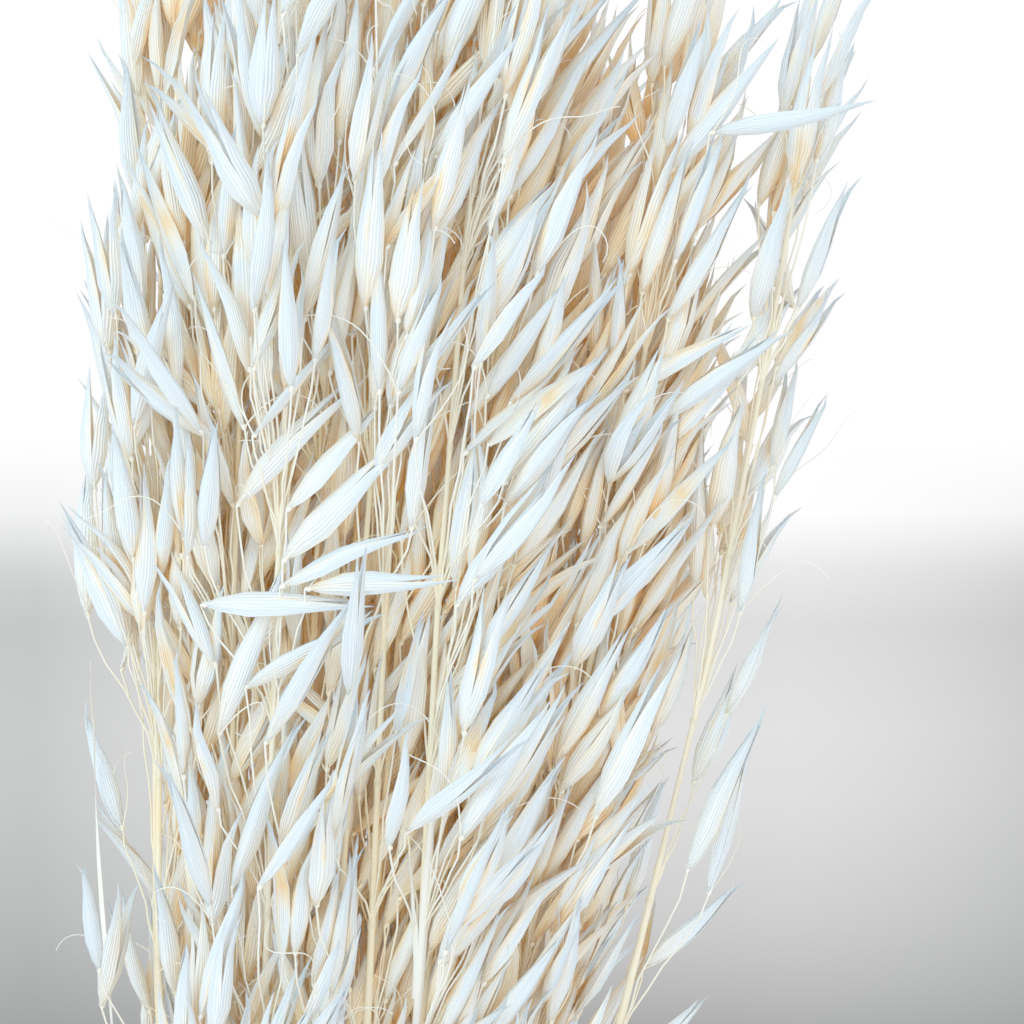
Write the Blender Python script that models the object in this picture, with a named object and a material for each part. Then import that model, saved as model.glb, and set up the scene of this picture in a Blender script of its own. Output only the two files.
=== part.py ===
# A bundle of dried oats, tied with twine and lying on its side.
# The stalks run along +Y from their cut ends to their heads, X is across the bundle and +Z is up.
# The bundle is laid out round its tie, at y = 0, and then moved as a whole, so that the origin is
# on the surface that it lies on, under the middle of its box. Lengths are in metres.

import math
import random

import bmesh
import bpy
import numpy
from mathutils import Vector
from mathutils.bvhtree import BVHTree

MM = 0.001

# Stems
STALK_COUNT = 44
STEM_PITCH = 2.9 * MM
MOST_ROWS = 6
PATTERN_SHIFT = (-0.15, 0.2)
STEM_RADIUS = 1.3 * MM
RACHIS_RADIUS = 1.05 * MM
TIP_RADIUS = 0.7 * MM
STEM_SIDES = 4
CUT_ALONG = -115 * MM
CUT_UNEVEN = 9 * MM
STATIONS = (0.0, 100 * MM, 195 * MM, 275 * MM, 350 * MM, 425 * MM)
SHORTEST_STRETCH = 25 * MM
STRAW_COLOUR = (0.80, 0.71, 0.56)
STRAW_SHADES = (0.93, 1.05)
STRAW_ROUGHNESS = 0.7

# The fan that the stems open into, and how high its middle lies
FAN_ACROSS = 5.7
FAN_UP = 2.6
FAN_LENGTH = 270 * MM
FAN_POWER = 1.6
CUT_FAN = 1.35
RIGHT_SQUEEZE = 0.12
TIE_HEIGHT = 17 * MM
HEAD_RISE = 0.0675
SWAY_START = 150 * MM
SWAY_ACROSS = 3.5 * MM
SWAY_UP = 2.0 * MM

# Stems that stand out from the rest: how far each bends across by the start of its head, how much
# further by the end of it, and how far it bends up
BENDS = {
    3: (-3 * MM, -6 * MM, 0.0),
    4: (-4 * MM, -9 * MM, 0.0),
    9: (0.0, 12 * MM, 0.0),
    10: (10 * MM, 9 * MM, -10 * MM),
    11: (-10 * MM, 4 * MM, 0.0),
    17: (-6 * MM, -1 * MM, 0.0),
}
OUTER_STALKS = (9, 10, 17)
BARE_STRETCHES = {
    3: (235 * MM, 365 * MM),
    4: (255 * MM, 440 * MM),
    11: (245 * MM, 320 * MM),
    17: (235 * MM, 330 * MM),
}
BARE_HALF_WIDTH = 3.2 * MM

# Heads
HEAD_START = 222 * MM
HEAD_UNEVEN = 16 * MM
HEAD_TIP = 512 * MM
TIP_UNEVEN = 55 * MM
RIGHT_SHORTER = 75 * MM
SPIKELETS_PER_STALK = 12
LEFT_EDGE = -69 * MM
LEFT_SHOULDER = 430 * MM
RIGHT_EDGE = 57 * MM
RIGHT_SHOULDER = 425 * MM
SHOULDER_SLOPE = 0.5

# One spikelet, and the small stalk that carries it
SPIKELET_LENGTH = (20 * MM, 28 * MM)
SPIKELET_HALF_WIDTH = 2.9 * MM
SPIKELET_HALF_DEPTH = 2.3 * MM
KEEL_SHARE = 0.36
CREASE_SHARE = 0.52
MIDDLE_SHARE = 0.4
SHORTER_HUSK = 0.94
GAPE = (1.0 * MM, 2.6 * MM)
PEDICEL_ROOT_RADIUS = 0.4 * MM
PEDICEL_NECK_RADIUS = 0.6 * MM
REACH = (3.5 * MM, 15 * MM)
OUTER_REACH = (2.5 * MM, 7 * MM)
RISE = 7 * MM
RISE_PER_REACH = 1.1
RISE_UNEVEN = 5 * MM
BELOW_TIP = 20 * MM
END_ROOT = 4 * MM
END_RISE = 3 * MM
CLEARANCE = 0.3 * MM
ATTEMPTS = 300
CHOICES = 3

# Which way the spikelets lean: to the right over most of the bundle, both ways on its left
LEAN_MIDDLE = 17.0
LEAN_LEFT = -6.0
LEAN_SPREAD = 12.0
LEAN_LEFT_SPREAD = 20.0
LEFT_START = 10 * MM
LEFT_WIDTH = 35 * MM
LEAN_OUT = 8.0
TILT_OUT = 13.0
TILT_SPREAD = 8.0
CROSSWISE_SHARE = 0.03
CROSSWISE_LEANS = (-60, 60)
END_LEAN = (8, 14)
END_TILT = (0, 8)
LANDMARK_TILT = 2

# Spikelets that show by their place or their lean: across, along, lean in degrees, and length
LANDMARKS = (
    (-40 * MM, 355 * MM, 80, 28 * MM),
    (-25 * MM, 355 * MM, 60, 25 * MM),
    (-35 * MM, 370 * MM, 35, 30 * MM),
    (-35 * MM, 385 * MM, -25, 26 * MM),
    (-45 * MM, 420 * MM, -25, 26 * MM),
    (-35 * MM, 325 * MM, 15, 30 * MM),
    (-30 * MM, 295 * MM, 15, 30 * MM),
    (50 * MM, 450 * MM, 75, 26 * MM),
    (60 * MM, 305 * MM, 20, 30 * MM),
    (65 * MM, 300 * MM, 10, 30 * MM),
    (40 * MM, 315 * MM, 20, 30 * MM),
)
SHOWN_SHARES = (0.2, 0.5, 0.8)
CROWN_HALF_WIDTH = 72 * MM
CROWN_MARGIN = 6 * MM
CROWN_ROWS = 3
CROWN_LEAST = 0.04
LANDMARK_REACH = 24 * MM
LANDMARK_CLEAR = 5 * MM

# A dried leaf blade that stands beside one stalk, as points off its stem: across, along and up
LEAF_STALK = 17
LEAF_HALF_WIDTH = 0.8 * MM
LEAF_HALF_THICKNESS = 0.35 * MM
LEAF_TAPER = 0.55
LEAF_FROM_STEM = (
    (0.0, 160 * MM, 0.0),
    (-2.2 * MM, 185 * MM, 1.0 * MM),
    (-4.6 * MM, 215 * MM, 1.5 * MM),
    (-6.0 * MM, 250 * MM, 0.5 * MM),
    (-7.6 * MM, 285 * MM, 0.0),
    (-9.6 * MM, 315 * MM, -1.0 * MM),
    (-10.2 * MM, 335 * MM, -2.5 * MM),
)

# Twine: the profile of its three turns, out and along in millimetres, and the loose ends' lines
TWINE_GAP = 0.3 * MM
TWINE_COLOUR = (0.46, 0.33, 0.19)
TWINE_ROUGHNESS = 0.9
TWINE_PROFILE = (
    (0.0, -2.7), (1.1, -3.0), (1.9, -2.0), (1.4, -1.0), (1.9, 0.0),
    (1.4, 1.0), (1.9, 2.0), (1.1, 3.0), (0.0, 2.7),
)
TWINE_STEPS = 24
KNOT_SIZE = (3.4 * MM, 2.6 * MM, 1.9 * MM)
TAIL_RADIUS = 0.9 * MM
TAIL_SIDES = 6
TAILS = (
    ((0.0, 0.0, 0.0), (4.0, 2.5, 1.2), (9.0, 6.5, 2.2), (14.0, 12.5, 3.2), (17.0, 20.0, 4.4)),
    ((0.0, 0.0, 0.0), (-4.0, -1.5, 1.2), (-8.5, -5.0, 1.6), (-11.0, -10.5, 1.4), (-12.0, -17.0, 1.6)),
)

SEED = 11


def smooth(value):
    """Ease a value from 0 to 1."""
    held = min(max(value, 0.0), 1.0)
    return held * held * (3 - 2 * held)


def fan(along, amount):
    """How many times further apart the stems are than at the tie."""
    if along <= 0:
        return 1 + (CUT_FAN - 1) * along / CUT_ALONG
    return 1 + amount * (1 - math.exp(-((along / FAN_LENGTH) ** FAN_POWER)))


def lattice(count, pitch):
    """The count points of a close-packed pattern that lie nearest its middle, row by row."""
    row_pitch = pitch * math.sqrt(3) / 2
    points = []
    for row in range(-MOST_ROWS, MOST_ROWS + 1):
        for column in range(-MOST_ROWS, MOST_ROWS + 1):
            across = (column + 0.5 * (row % 2) + PATTERN_SHIFT[0]) * pitch
            up = (row + PATTERN_SHIFT[1]) * row_pitch
            points.append((round(math.hypot(across, up), 9), across, up))
    nearest = sorted(points)[:count]
    return sorted(((across, up) for distance, across, up in nearest), key=lambda p: (-p[1], p[0]))


class Stalk:
    """One stalk: the line that its stem follows, and where its head starts and ends."""

    def __init__(self, number, across, up, lowest, draw):
        self.number = number
        self.name = f"oat_stalk_{number:02d}"
        self.across = across
        self.up = up
        self.lowest = lowest
        self.outer = number in OUTER_STALKS
        self.bend = BENDS.get(number, (0.0, 0.0, 0.0))
        self.sway = (draw.uniform(-1, 1), draw.uniform(-1, 1))
        self.cut = CUT_ALONG + draw.uniform(0, CUT_UNEVEN) * (up > lowest)
        self.head = HEAD_START + draw.uniform(-HEAD_UNEVEN, HEAD_UNEVEN)
        self.tip = HEAD_TIP - draw.uniform(0, TIP_UNEVEN)
        if not self.outer:
            self.tip -= RIGHT_SHORTER * smooth((across - STEM_PITCH) / (2 * STEM_PITCH))
        passed = [along for along in STATIONS if along < self.tip - SHORTEST_STRETCH]
        self.points = [self.centre(along) for along in (self.cut, *passed, self.tip)]
        self.spikelets = []

    def centre(self, along):
        """The middle of the stem where it crosses one distance along the bundle."""
        middle = TIE_HEIGHT + HEAD_RISE * along
        if along < 0:
            cut_height = STEM_RADIUS * math.cos(math.pi / STEM_SIDES) - self.lowest * CUT_FAN
            middle = TIE_HEIGHT + (cut_height - TIE_HEIGHT) * along / CUT_ALONG
        start, middle_station, end = STATIONS[2], STATIONS[3], STATIONS[5]
        opened = smooth(along / middle_station)
        later = smooth((along - start) / (end - start))
        swung = smooth((along - SWAY_START) / (end - SWAY_START))
        across = self.across * fan(along, FAN_ACROSS)
        if across > 0 and not self.outer:
            across *= 1 - RIGHT_SQUEEZE * opened
        across += self.bend[0] * opened + self.bend[1] * later + self.sway[0] * SWAY_ACROSS * swung
        up = middle + self.up * fan(along, FAN_UP)
        up += self.bend[2] * opened + self.sway[1] * SWAY_UP * swung
        return Vector((across, along, up))

    def at(self, along):
        """The point of the stem's own straight stretches at one distance along the bundle."""
        for start, end in zip(self.points, self.points[1:]):
            if along <= end.y:
                break
        return start.lerp(end, (along - start.y) / (end.y - start.y))

    def radius(self, along):
        """The stem thins from its tie to its head, and again along the head."""
        if along < self.head:
            return STEM_RADIUS + (RACHIS_RADIUS - STEM_RADIUS) * max(along, 0.0) / self.head
        return RACHIS_RADIUS + (TIP_RADIUS - RACHIS_RADIUS) * (along - self.head) / (self.tip - self.head)


def ring(centre, axis, side, radius, count, start=0.0):
    """Points round an axis, the first one turned from the side direction by the start angle."""
    across = (side - axis * side.dot(axis)).normalized()
    depth = axis.cross(across)
    turns = [start + math.tau * step / count for step in range(count)]
    return [centre + (across * math.cos(turn) + depth * math.sin(turn)) * radius for turn in turns]


def tube_faces(rings, sides):
    """The sides and two ends of a closed tube whose rings of points follow each other."""
    faces = [tuple(reversed(range(sides))), tuple(range((rings - 1) * sides, rings * sides))]
    for row in range(rings - 1):
        for step in range(sides):
            a = row * sides + step
            b = row * sides + (step + 1) % sides
            faces.append((a, b, b + sides, a + sides))
    return faces


def stem_tube(centres, radii):
    """Points and faces of a stem. Its rings all face along the bundle, so that its sides are flat."""
    points = []
    for centre, radius in zip(centres, radii):
        points += ring(centre, Vector((0, 1, 0)), Vector((1, 0, 0)), radius, STEM_SIDES, math.pi / 4)
    return points, tube_faces(len(centres), STEM_SIDES)


def leaf_blade(stalk):
    """Points and faces of the dried leaf blade beside a stalk: a thin strip, rooted in its stem."""
    points = []
    for index, (across, along, up) in enumerate(LEAF_FROM_STEM):
        thin = 1 - LEAF_TAPER * index / (len(LEAF_FROM_STEM) - 1)
        middle = stalk.at(along) + Vector((across, 0, up))
        for side, level in ((-1, -1), (1, -1), (1, 1), (-1, 1)):
            edge = Vector((side * LEAF_HALF_WIDTH * thin, 0, level * LEAF_HALF_THICKNESS))
            points.append(middle + edge)
    faces = tube_faces(len(LEAF_FROM_STEM), 4)
    return points, [tuple(reversed(face)) for face in faces]


# The corner points of a spikelet: three at its root, three at its neck, then its keels, its
# creases and its tips
NECK, LEFT, RIGHT, FRONT, BACK, LEFT_TIP, RIGHT_TIP = 3, 6, 7, 8, 9, 10, 11
BODY_FACES = [
    (NECK, NECK + 1, FRONT), (NECK, FRONT, RIGHT), (NECK + 1, NECK + 2, LEFT),
    (NECK + 1, LEFT, FRONT), (NECK + 2, BACK, LEFT), (NECK + 2, NECK, BACK), (NECK, RIGHT, BACK),
    (RIGHT, FRONT, RIGHT_TIP), (BACK, RIGHT, RIGHT_TIP), (FRONT, BACK, RIGHT_TIP),
    (FRONT, LEFT, LEFT_TIP), (LEFT, BACK, LEFT_TIP), (BACK, FRONT, LEFT_TIP),
]
PEDICEL_FACES = [(2, 1, 0), (0, 1, 4, 3), (1, 2, 5, 4), (2, 0, 3, 5)]
SPIKELET_FACES = PEDICEL_FACES + BODY_FACES


class Spikelet:
    """One spikelet on its pedicel: two keeled husks that part in a V towards their tips."""

    def __init__(self, root, base, axis, length, draw):
        self.root = root
        self.base = base
        self.axis = axis
        self.length = length
        roll = draw.uniform(-0.5, 0.5) * math.pi
        level = axis.cross(Vector((0, 0, 1))).normalized()
        self.side = level * math.cos(roll) + axis.cross(level) * math.sin(roll)
        self.gape = draw.uniform(*GAPE)
        lowest = min(point.z for point in self.shell()[NECK:])
        if lowest < 0:
            self.base = self.base - Vector((0, 0, lowest))

    def shell(self, grow=0.0):
        """Its twelve corner points, grown by a clearance where one is given."""
        depth = self.axis.cross(self.side)
        keel = self.base + self.axis * self.length * KEEL_SHARE
        crease = self.base + self.axis * self.length * CREASE_SHARE
        half_width = SPIKELET_HALF_WIDTH + grow
        half_depth = SPIKELET_HALF_DEPTH + grow
        carrier = (self.base - self.root).normalized()
        points = ring(self.root, carrier, self.side, PEDICEL_ROOT_RADIUS + grow, 3)
        points += ring(self.base, carrier, self.side, PEDICEL_NECK_RADIUS + grow, 3)
        points += [keel - self.side * half_width, keel + self.side * half_width]
        points += [crease + depth * half_depth, crease - depth * half_depth]
        points += [self.base + self.axis * (self.length + grow) - self.side * self.gape]
        points += [self.base + self.axis * (self.length * SHORTER_HUSK + grow) + self.side * self.gape]
        return points

    def middle(self):
        """The middle of its body."""
        return self.base + self.axis * self.length * MIDDLE_SHARE


class Room:
    """What has been placed so far, so that nothing new goes through it."""

    def __init__(self):
        self.low = numpy.empty((0, 3))
        self.high = numpy.empty((0, 3))
        self.items = []

    def add(self, owner, points, faces, own_faces=None):
        """Remember a closed shape of one stalk, and the part of it that its own stalk avoids."""
        corners = numpy.array(points)
        self.low = numpy.vstack([self.low, corners.min(axis=0)])
        self.high = numpy.vstack([self.high, corners.max(axis=0)])
        whole = BVHTree.FromPolygons(points, faces)
        own = BVHTree.FromPolygons(points, own_faces) if own_faces else whole
        self.items.append((owner, whole, own))

    def takes(self, owner, points):
        """True where a new spikelet of one stalk crosses nothing."""
        corners = numpy.array(points)
        above = (self.high > corners.min(axis=0)).all(axis=1)
        below = (self.low < corners.max(axis=0)).all(axis=1)
        near = numpy.nonzero(above & below)[0]
        if len(near) == 0:
            return True
        whole = BVHTree.FromPolygons(points, SPIKELET_FACES)
        body = BVHTree.FromPolygons(points, BODY_FACES)
        for index in near:
            other, other_whole, other_own = self.items[index]
            crossing = body.overlap(other_own) if other is owner else whole.overlap(other_whole)
            if crossing:
                return False
        return True


def direction(lean, tilt):
    """A unit direction that leans from +Y towards +X and tilts up, both in degrees."""
    lean = math.radians(lean)
    tilt = math.radians(tilt)
    return Vector((math.sin(lean) * math.cos(tilt), math.cos(lean) * math.cos(tilt), math.sin(tilt)))


def side_spikelet(stalk, draw):
    """Draw a spikelet that stands off the stem on its pedicel, somewhere along the head."""
    station = draw.uniform(stalk.head, stalk.tip - BELOW_TIP)
    reach = draw.uniform(*(OUTER_REACH if stalk.outer else REACH))
    turn = draw.uniform(0, math.tau)
    along = station + RISE + RISE_PER_REACH * reach + draw.uniform(0, RISE_UNEVEN)
    base = stalk.centre(along) + Vector((math.cos(turn), 0, math.sin(turn))) * reach
    left = smooth((-base.x - LEFT_START) / LEFT_WIDTH)
    lean = LEAN_MIDDLE + (LEAN_LEFT - LEAN_MIDDLE) * left + LEAN_OUT * math.cos(turn)
    lean += draw.gauss(0, LEAN_SPREAD + (LEAN_LEFT_SPREAD - LEAN_SPREAD) * left)
    if draw.random() < CROSSWISE_SHARE:
        lean += draw.choice(CROSSWISE_LEANS)
    tilt = TILT_OUT * math.sin(turn) + draw.gauss(0, TILT_SPREAD)
    length = draw.uniform(*SPIKELET_LENGTH)
    return Spikelet(stalk.at(station), base, direction(lean, tilt), length, draw)


def end_spikelet(stalk, draw):
    """Draw the spikelet that ends a stem."""
    base = stalk.points[-1] + Vector((0, END_RISE, 0))
    axis = direction(draw.gauss(*END_LEAN), draw.gauss(*END_TILT))
    return Spikelet(stalk.at(stalk.tip - END_ROOT), base, axis, draw.uniform(*SPIKELET_LENGTH), draw)


def in_outline(stalk, spikelet):
    """True inside the bundle's outline."""
    end = spikelet.base + spikelet.axis * spikelet.length
    right_edge = RIGHT_EDGE - max(end.y - RIGHT_SHOULDER, 0) * SHOULDER_SLOPE
    left_edge = LEFT_EDGE + max(end.y - LEFT_SHOULDER, 0) * SHOULDER_SLOPE
    return stalk.outer or left_edge < end.x < right_edge


def hides_nothing(spikelet, stalks):
    """True where a spikelet is off the stems that stay bare, and not over a landmark."""
    end = spikelet.base + spikelet.axis * spikelet.length
    for point in (spikelet.base, spikelet.middle(), end):
        for number, (start, stop) in BARE_STRETCHES.items():
            stem = stalks[number - 1].centre(point.y)
            beside = abs(point.x - stem.x) < BARE_HALF_WIDTH
            if beside and start < point.y < stop and point.z > stem.z:
                return False
        for across, along, lean, length in LANDMARKS:
            for share in SHOWN_SHARES:
                shown = Vector((across, along, 0)) + direction(lean, 0) * length * share
                beside = math.hypot(point.x - shown.x, point.y - shown.y) < LANDMARK_CLEAR
                if beside and point.z > crown(across, along) - LANDMARK_CLEAR:
                    return False
    return True


def crown(across, along):
    """The height of the bundle's upper side over one place."""
    middle = TIE_HEIGHT + HEAD_RISE * along
    rise = CROWN_ROWS * STEM_PITCH * fan(along, FAN_UP) + CROWN_MARGIN
    return middle + rise * math.sqrt(max(1 - (across / CROWN_HALF_WIDTH) ** 2, CROWN_LEAST))


def place_landmarks(stalks, room, draw):
    """Put each landmark spikelet on the nearest stalk whose pedicel reaches it freely."""
    for across, along, lean, length in LANDMARKS:
        base = Vector((across, along, crown(across, along)))
        near = sorted(stalks, key=lambda stalk: (stalk.centre(along) - base).length)
        for stalk in near:
            reach = (stalk.centre(along) - base).length
            if reach > LANDMARK_REACH:
                break
            root = stalk.at(along - RISE - RISE_PER_REACH * reach)
            spikelet = Spikelet(root, base, direction(lean, LANDMARK_TILT), length, draw)
            if keep(stalk, spikelet, room):
                break


def keep(stalk, spikelet, room):
    """Add a spikelet to its stalk where there is room for it."""
    if not room.takes(stalk, spikelet.shell(CLEARANCE)):
        return False
    room.add(stalk, spikelet.shell(), SPIKELET_FACES, BODY_FACES)
    stalk.spikelets.append(spikelet)
    return True


def lay_bundle(draw):
    """All stalks, each with its stem's line fixed and its spikelets placed on it."""
    places = lattice(STALK_COUNT, STEM_PITCH)
    lowest = min(up for across, up in places)
    stalks = [Stalk(i + 1, across, up, lowest, draw) for i, (across, up) in enumerate(places)]
    room = Room()
    for stalk in stalks:
        for start, end in zip(stalk.points, stalk.points[1:]):
            radii = [stalk.radius(start.y), stalk.radius(end.y)]
            room.add(stalk, *stem_tube([start, end], radii))
    room.add(stalks[LEAF_STALK - 1], *leaf_blade(stalks[LEAF_STALK - 1]))
    place_landmarks(stalks, room, draw)
    for stalk in stalks:
        attempts = (end_spikelet(stalk, draw) for attempt in range(ATTEMPTS))
        any(keep(stalk, spikelet, room) for spikelet in attempts)
    for count in range(1, SPIKELETS_PER_STALK + 1):
        for stalk in stalks:
            if len(stalk.spikelets) < count:
                grow_one(stalk, stalks, room, draw)
    return stalks


def grow_one(stalk, stalks, room, draw):
    """Add one spikelet to a stalk: the roomiest of a few that fit."""
    placed = [other.middle() for near in stalks for other in near.spikelets]
    best, widest = None, 0.0
    fitting = 0
    for attempt in range(ATTEMPTS):
        spikelet = side_spikelet(stalk, draw)
        shown = in_outline(stalk, spikelet) and hides_nothing(spikelet, stalks)
        if shown and room.takes(stalk, spikelet.shell(CLEARANCE)):
            fitting += 1
            gap = min((spikelet.middle() - point).length for point in placed)
            if gap > widest:
                best, widest = spikelet, gap
            if fitting == CHOICES:
                break
    if best:
        keep(stalk, best, room)


def matt(name, colour, roughness):
    """A plain matt finish."""
    material = bpy.data.materials.new(name)
    material.use_nodes = True
    shader = material.node_tree.nodes["Principled BSDF"]
    shader.inputs["Base Color"].default_value = (*colour, 1)
    shader.inputs["Roughness"].default_value = roughness
    shader.inputs["Metallic"].default_value = 0.0
    return material


def solid(name, points, faces, origin, material):
    """An object made of closed triangles, with its origin at the place given."""
    mesh = bpy.data.meshes.new(name)
    mesh.from_pydata([point - origin for point in points], [], faces)
    mesh.materials.append(material)
    piece = bpy.data.objects.new(name, mesh)
    piece.location = origin
    bpy.context.scene.collection.objects.link(piece)
    return piece


def fuse(carrier, pieces):
    """Join pieces to what carries them with one Boolean union, then remove them."""
    group = bpy.data.collections.new(f"{carrier.name}_repeats")
    for piece in pieces:
        group.objects.link(piece)
    union = carrier.modifiers.new("fuse", "BOOLEAN")
    union.operation = "UNION"
    union.operand_type = "COLLECTION"
    union.collection = group
    union.solver = "EXACT"
    bpy.context.view_layer.objects.active = carrier
    bpy.ops.object.modifier_apply(modifier=union.name)
    for piece in pieces:
        bpy.data.objects.remove(piece)
    bpy.data.collections.remove(group)


def make_stalk(stalk, draw):
    """One stalk: its stem, and its spikelets fused to it."""
    shade = draw.uniform(*STRAW_SHADES)
    colour = [part * shade for part in STRAW_COLOUR]
    material = matt(f"{stalk.name}_straw", colour, STRAW_ROUGHNESS)
    origin = stalk.points[1]
    radii = [stalk.radius(point.y) for point in stalk.points]
    stem = solid(stalk.name, *stem_tube(stalk.points, radii), origin, material)
    spikelets = []
    for number, spikelet in enumerate(stalk.spikelets):
        name = f"{stalk.name}_spikelet_{number}"
        spikelets.append(solid(name, spikelet.shell(), SPIKELET_FACES, origin, material))
    if stalk.number == LEAF_STALK:
        spikelets.append(solid("leaf_blade", *leaf_blade(stalk), origin, material))
    fuse(stem, spikelets)
    return stem


def hold_point(stalks, normal):
    """Where the twine lies against the stems on one side, clear of every stem that it holds."""
    edges = (TWINE_PROFILE[0][1] * MM, TWINE_PROFILE[-1][1] * MM)
    centres = [stalk.at(along) for stalk in stalks for along in edges]
    farthest = max(centre.dot(normal) for centre in centres)
    beside = Vector((-normal.z, 0, normal.x))
    outer = [centre for centre in centres if centre.dot(normal) > farthest - 1e-6]
    middle = sum(centre.dot(beside) for centre in outer) / len(outer)
    return normal * (farthest + STEM_RADIUS + TWINE_GAP) + beside * middle


def make_tie(stalks):
    """Three turns of twine round the stems, with a knot on top and two short tails."""
    material = matt("twine", TWINE_COLOUR, TWINE_ROUGHNESS)
    origin = Vector((0, 0, TIE_HEIGHT))
    points = []
    for step in range(TWINE_STEPS):
        turn = math.tau * step / TWINE_STEPS
        normal = Vector((math.cos(turn), 0, math.sin(turn)))
        held = hold_point(stalks, normal)
        points += [held + normal * out * MM + Vector((0, along * MM, 0)) for out, along in TWINE_PROFILE]
    count = len(TWINE_PROFILE)
    faces = []
    for step in range(TWINE_STEPS):
        for corner in range(count):
            a = step * count + corner
            b = step * count + (corner + 1) % count
            c = (step + 1) % TWINE_STEPS * count + corner
            d = (step + 1) % TWINE_STEPS * count + (corner + 1) % count
            faces += [(a, b, d), (a, d, c)]
    band = solid("tie", points, faces, origin, material)
    top = hold_point(stalks, Vector((0, 0, 1))) + Vector((0, 0, KNOT_SIZE[2]))
    pieces = [make_knot(top, material)]
    for number, tail in enumerate(TAILS):
        centres = [top + Vector(point) * MM for point in tail]
        pieces.append(solid(f"tie_tail_{number}", *make_tail(centres), origin, material))
    fuse(band, pieces)
    return band


def make_tail(centres):
    """Points and faces of one loose end of the twine."""
    points = []
    for index, centre in enumerate(centres):
        before = centres[max(index - 1, 0)]
        after = centres[min(index + 1, len(centres) - 1)]
        points += ring(centre, (after - before).normalized(), Vector((0, 0, 1)), TAIL_RADIUS, TAIL_SIDES)
    return points, tube_faces(len(centres), TAIL_SIDES)


def make_knot(place, material):
    """The knot's lump."""
    shape = bmesh.new()
    bmesh.ops.create_icosphere(shape, subdivisions=2, radius=1.0)
    bmesh.ops.scale(shape, vec=KNOT_SIZE, verts=shape.verts)
    mesh = bpy.data.meshes.new("tie_knot")
    shape.to_mesh(mesh)
    shape.free()
    mesh.materials.append(material)
    knot = bpy.data.objects.new("tie_knot", mesh)
    knot.location = place
    bpy.context.scene.collection.objects.link(knot)
    return knot


def ground_middle(pieces):
    """The point of the surface that the bundle lies on, under the middle of its box."""
    corners = [piece.matrix_world @ vertex.co for piece in pieces for vertex in piece.data.vertices]
    middle = [(min(c[axis] for c in corners) + max(c[axis] for c in corners)) / 2 for axis in (0, 1)]
    return Vector((*middle, min(corner.z for corner in corners)))


def main():
    """Lay the bundle out round its tie, make its pieces, and move it onto its origin."""
    for item in list(bpy.data.objects):
        bpy.data.objects.remove(item)
    draw = random.Random(SEED)
    stalks = lay_bundle(draw)
    pieces = [make_stalk(stalk, draw) for stalk in stalks]
    pieces.append(make_tie(stalks))
    bpy.context.view_layer.update()
    bundle = bpy.data.objects.new("oat_bundle", None)
    bpy.context.scene.collection.objects.link(bundle)
    for piece in pieces:
        piece.parent = bundle
    bundle.location = -ground_middle(pieces)


if __name__ == "__main__":
    main()
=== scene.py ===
# A bundle of dried oats, tied with twine and lying on its side: its finer pieces and finishes.

import math
import random

import bpy
import numpy
from mathutils import Matrix, Vector
from mathutils.bvhtree import BVHTree


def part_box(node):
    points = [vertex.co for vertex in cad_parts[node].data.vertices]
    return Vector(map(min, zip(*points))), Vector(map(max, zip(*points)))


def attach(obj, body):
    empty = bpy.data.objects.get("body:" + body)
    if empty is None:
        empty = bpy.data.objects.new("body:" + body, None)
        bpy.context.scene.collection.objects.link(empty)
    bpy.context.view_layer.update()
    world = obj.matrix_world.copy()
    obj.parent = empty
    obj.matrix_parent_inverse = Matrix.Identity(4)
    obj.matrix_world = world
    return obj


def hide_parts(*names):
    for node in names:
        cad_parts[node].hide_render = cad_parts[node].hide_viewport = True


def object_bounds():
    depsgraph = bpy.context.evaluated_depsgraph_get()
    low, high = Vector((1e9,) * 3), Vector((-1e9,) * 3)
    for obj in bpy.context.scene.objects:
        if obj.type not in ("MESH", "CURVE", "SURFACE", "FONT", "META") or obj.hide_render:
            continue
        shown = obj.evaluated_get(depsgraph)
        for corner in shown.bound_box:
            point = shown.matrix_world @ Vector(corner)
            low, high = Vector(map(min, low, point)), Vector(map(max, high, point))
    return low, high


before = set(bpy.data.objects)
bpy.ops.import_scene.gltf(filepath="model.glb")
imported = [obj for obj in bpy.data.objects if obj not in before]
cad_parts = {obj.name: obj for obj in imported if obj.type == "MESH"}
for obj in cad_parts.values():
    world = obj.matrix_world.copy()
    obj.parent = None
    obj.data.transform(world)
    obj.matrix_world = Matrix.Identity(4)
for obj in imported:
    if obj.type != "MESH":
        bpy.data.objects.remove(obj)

MM = 0.001

# Stems
STALK_COUNT = 44
STEM_PITCH = 2.9 * MM
MOST_ROWS = 6
PATTERN_SHIFT = (-0.15, 0.2)
STEM_RADIUS = 1.3 * MM
RACHIS_RADIUS = 1.05 * MM
TIP_RADIUS = 0.7 * MM
STEM_SIDES = 4
CUT_ALONG = -115 * MM
CUT_UNEVEN = 9 * MM
STATIONS = (0.0, 100 * MM, 195 * MM, 275 * MM, 350 * MM, 425 * MM)
SHORTEST_STRETCH = 25 * MM

# The fan that the stems open into, and how high its middle lies
FAN_ACROSS = 5.7
FAN_UP = 2.6
FAN_LENGTH = 270 * MM
FAN_POWER = 1.6
CUT_FAN = 1.35
RIGHT_SQUEEZE = 0.12
TIE_HEIGHT = 17 * MM
HEAD_RISE = 0.0675
SWAY_START = 150 * MM
SWAY_ACROSS = 3.5 * MM
SWAY_UP = 2.0 * MM

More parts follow.
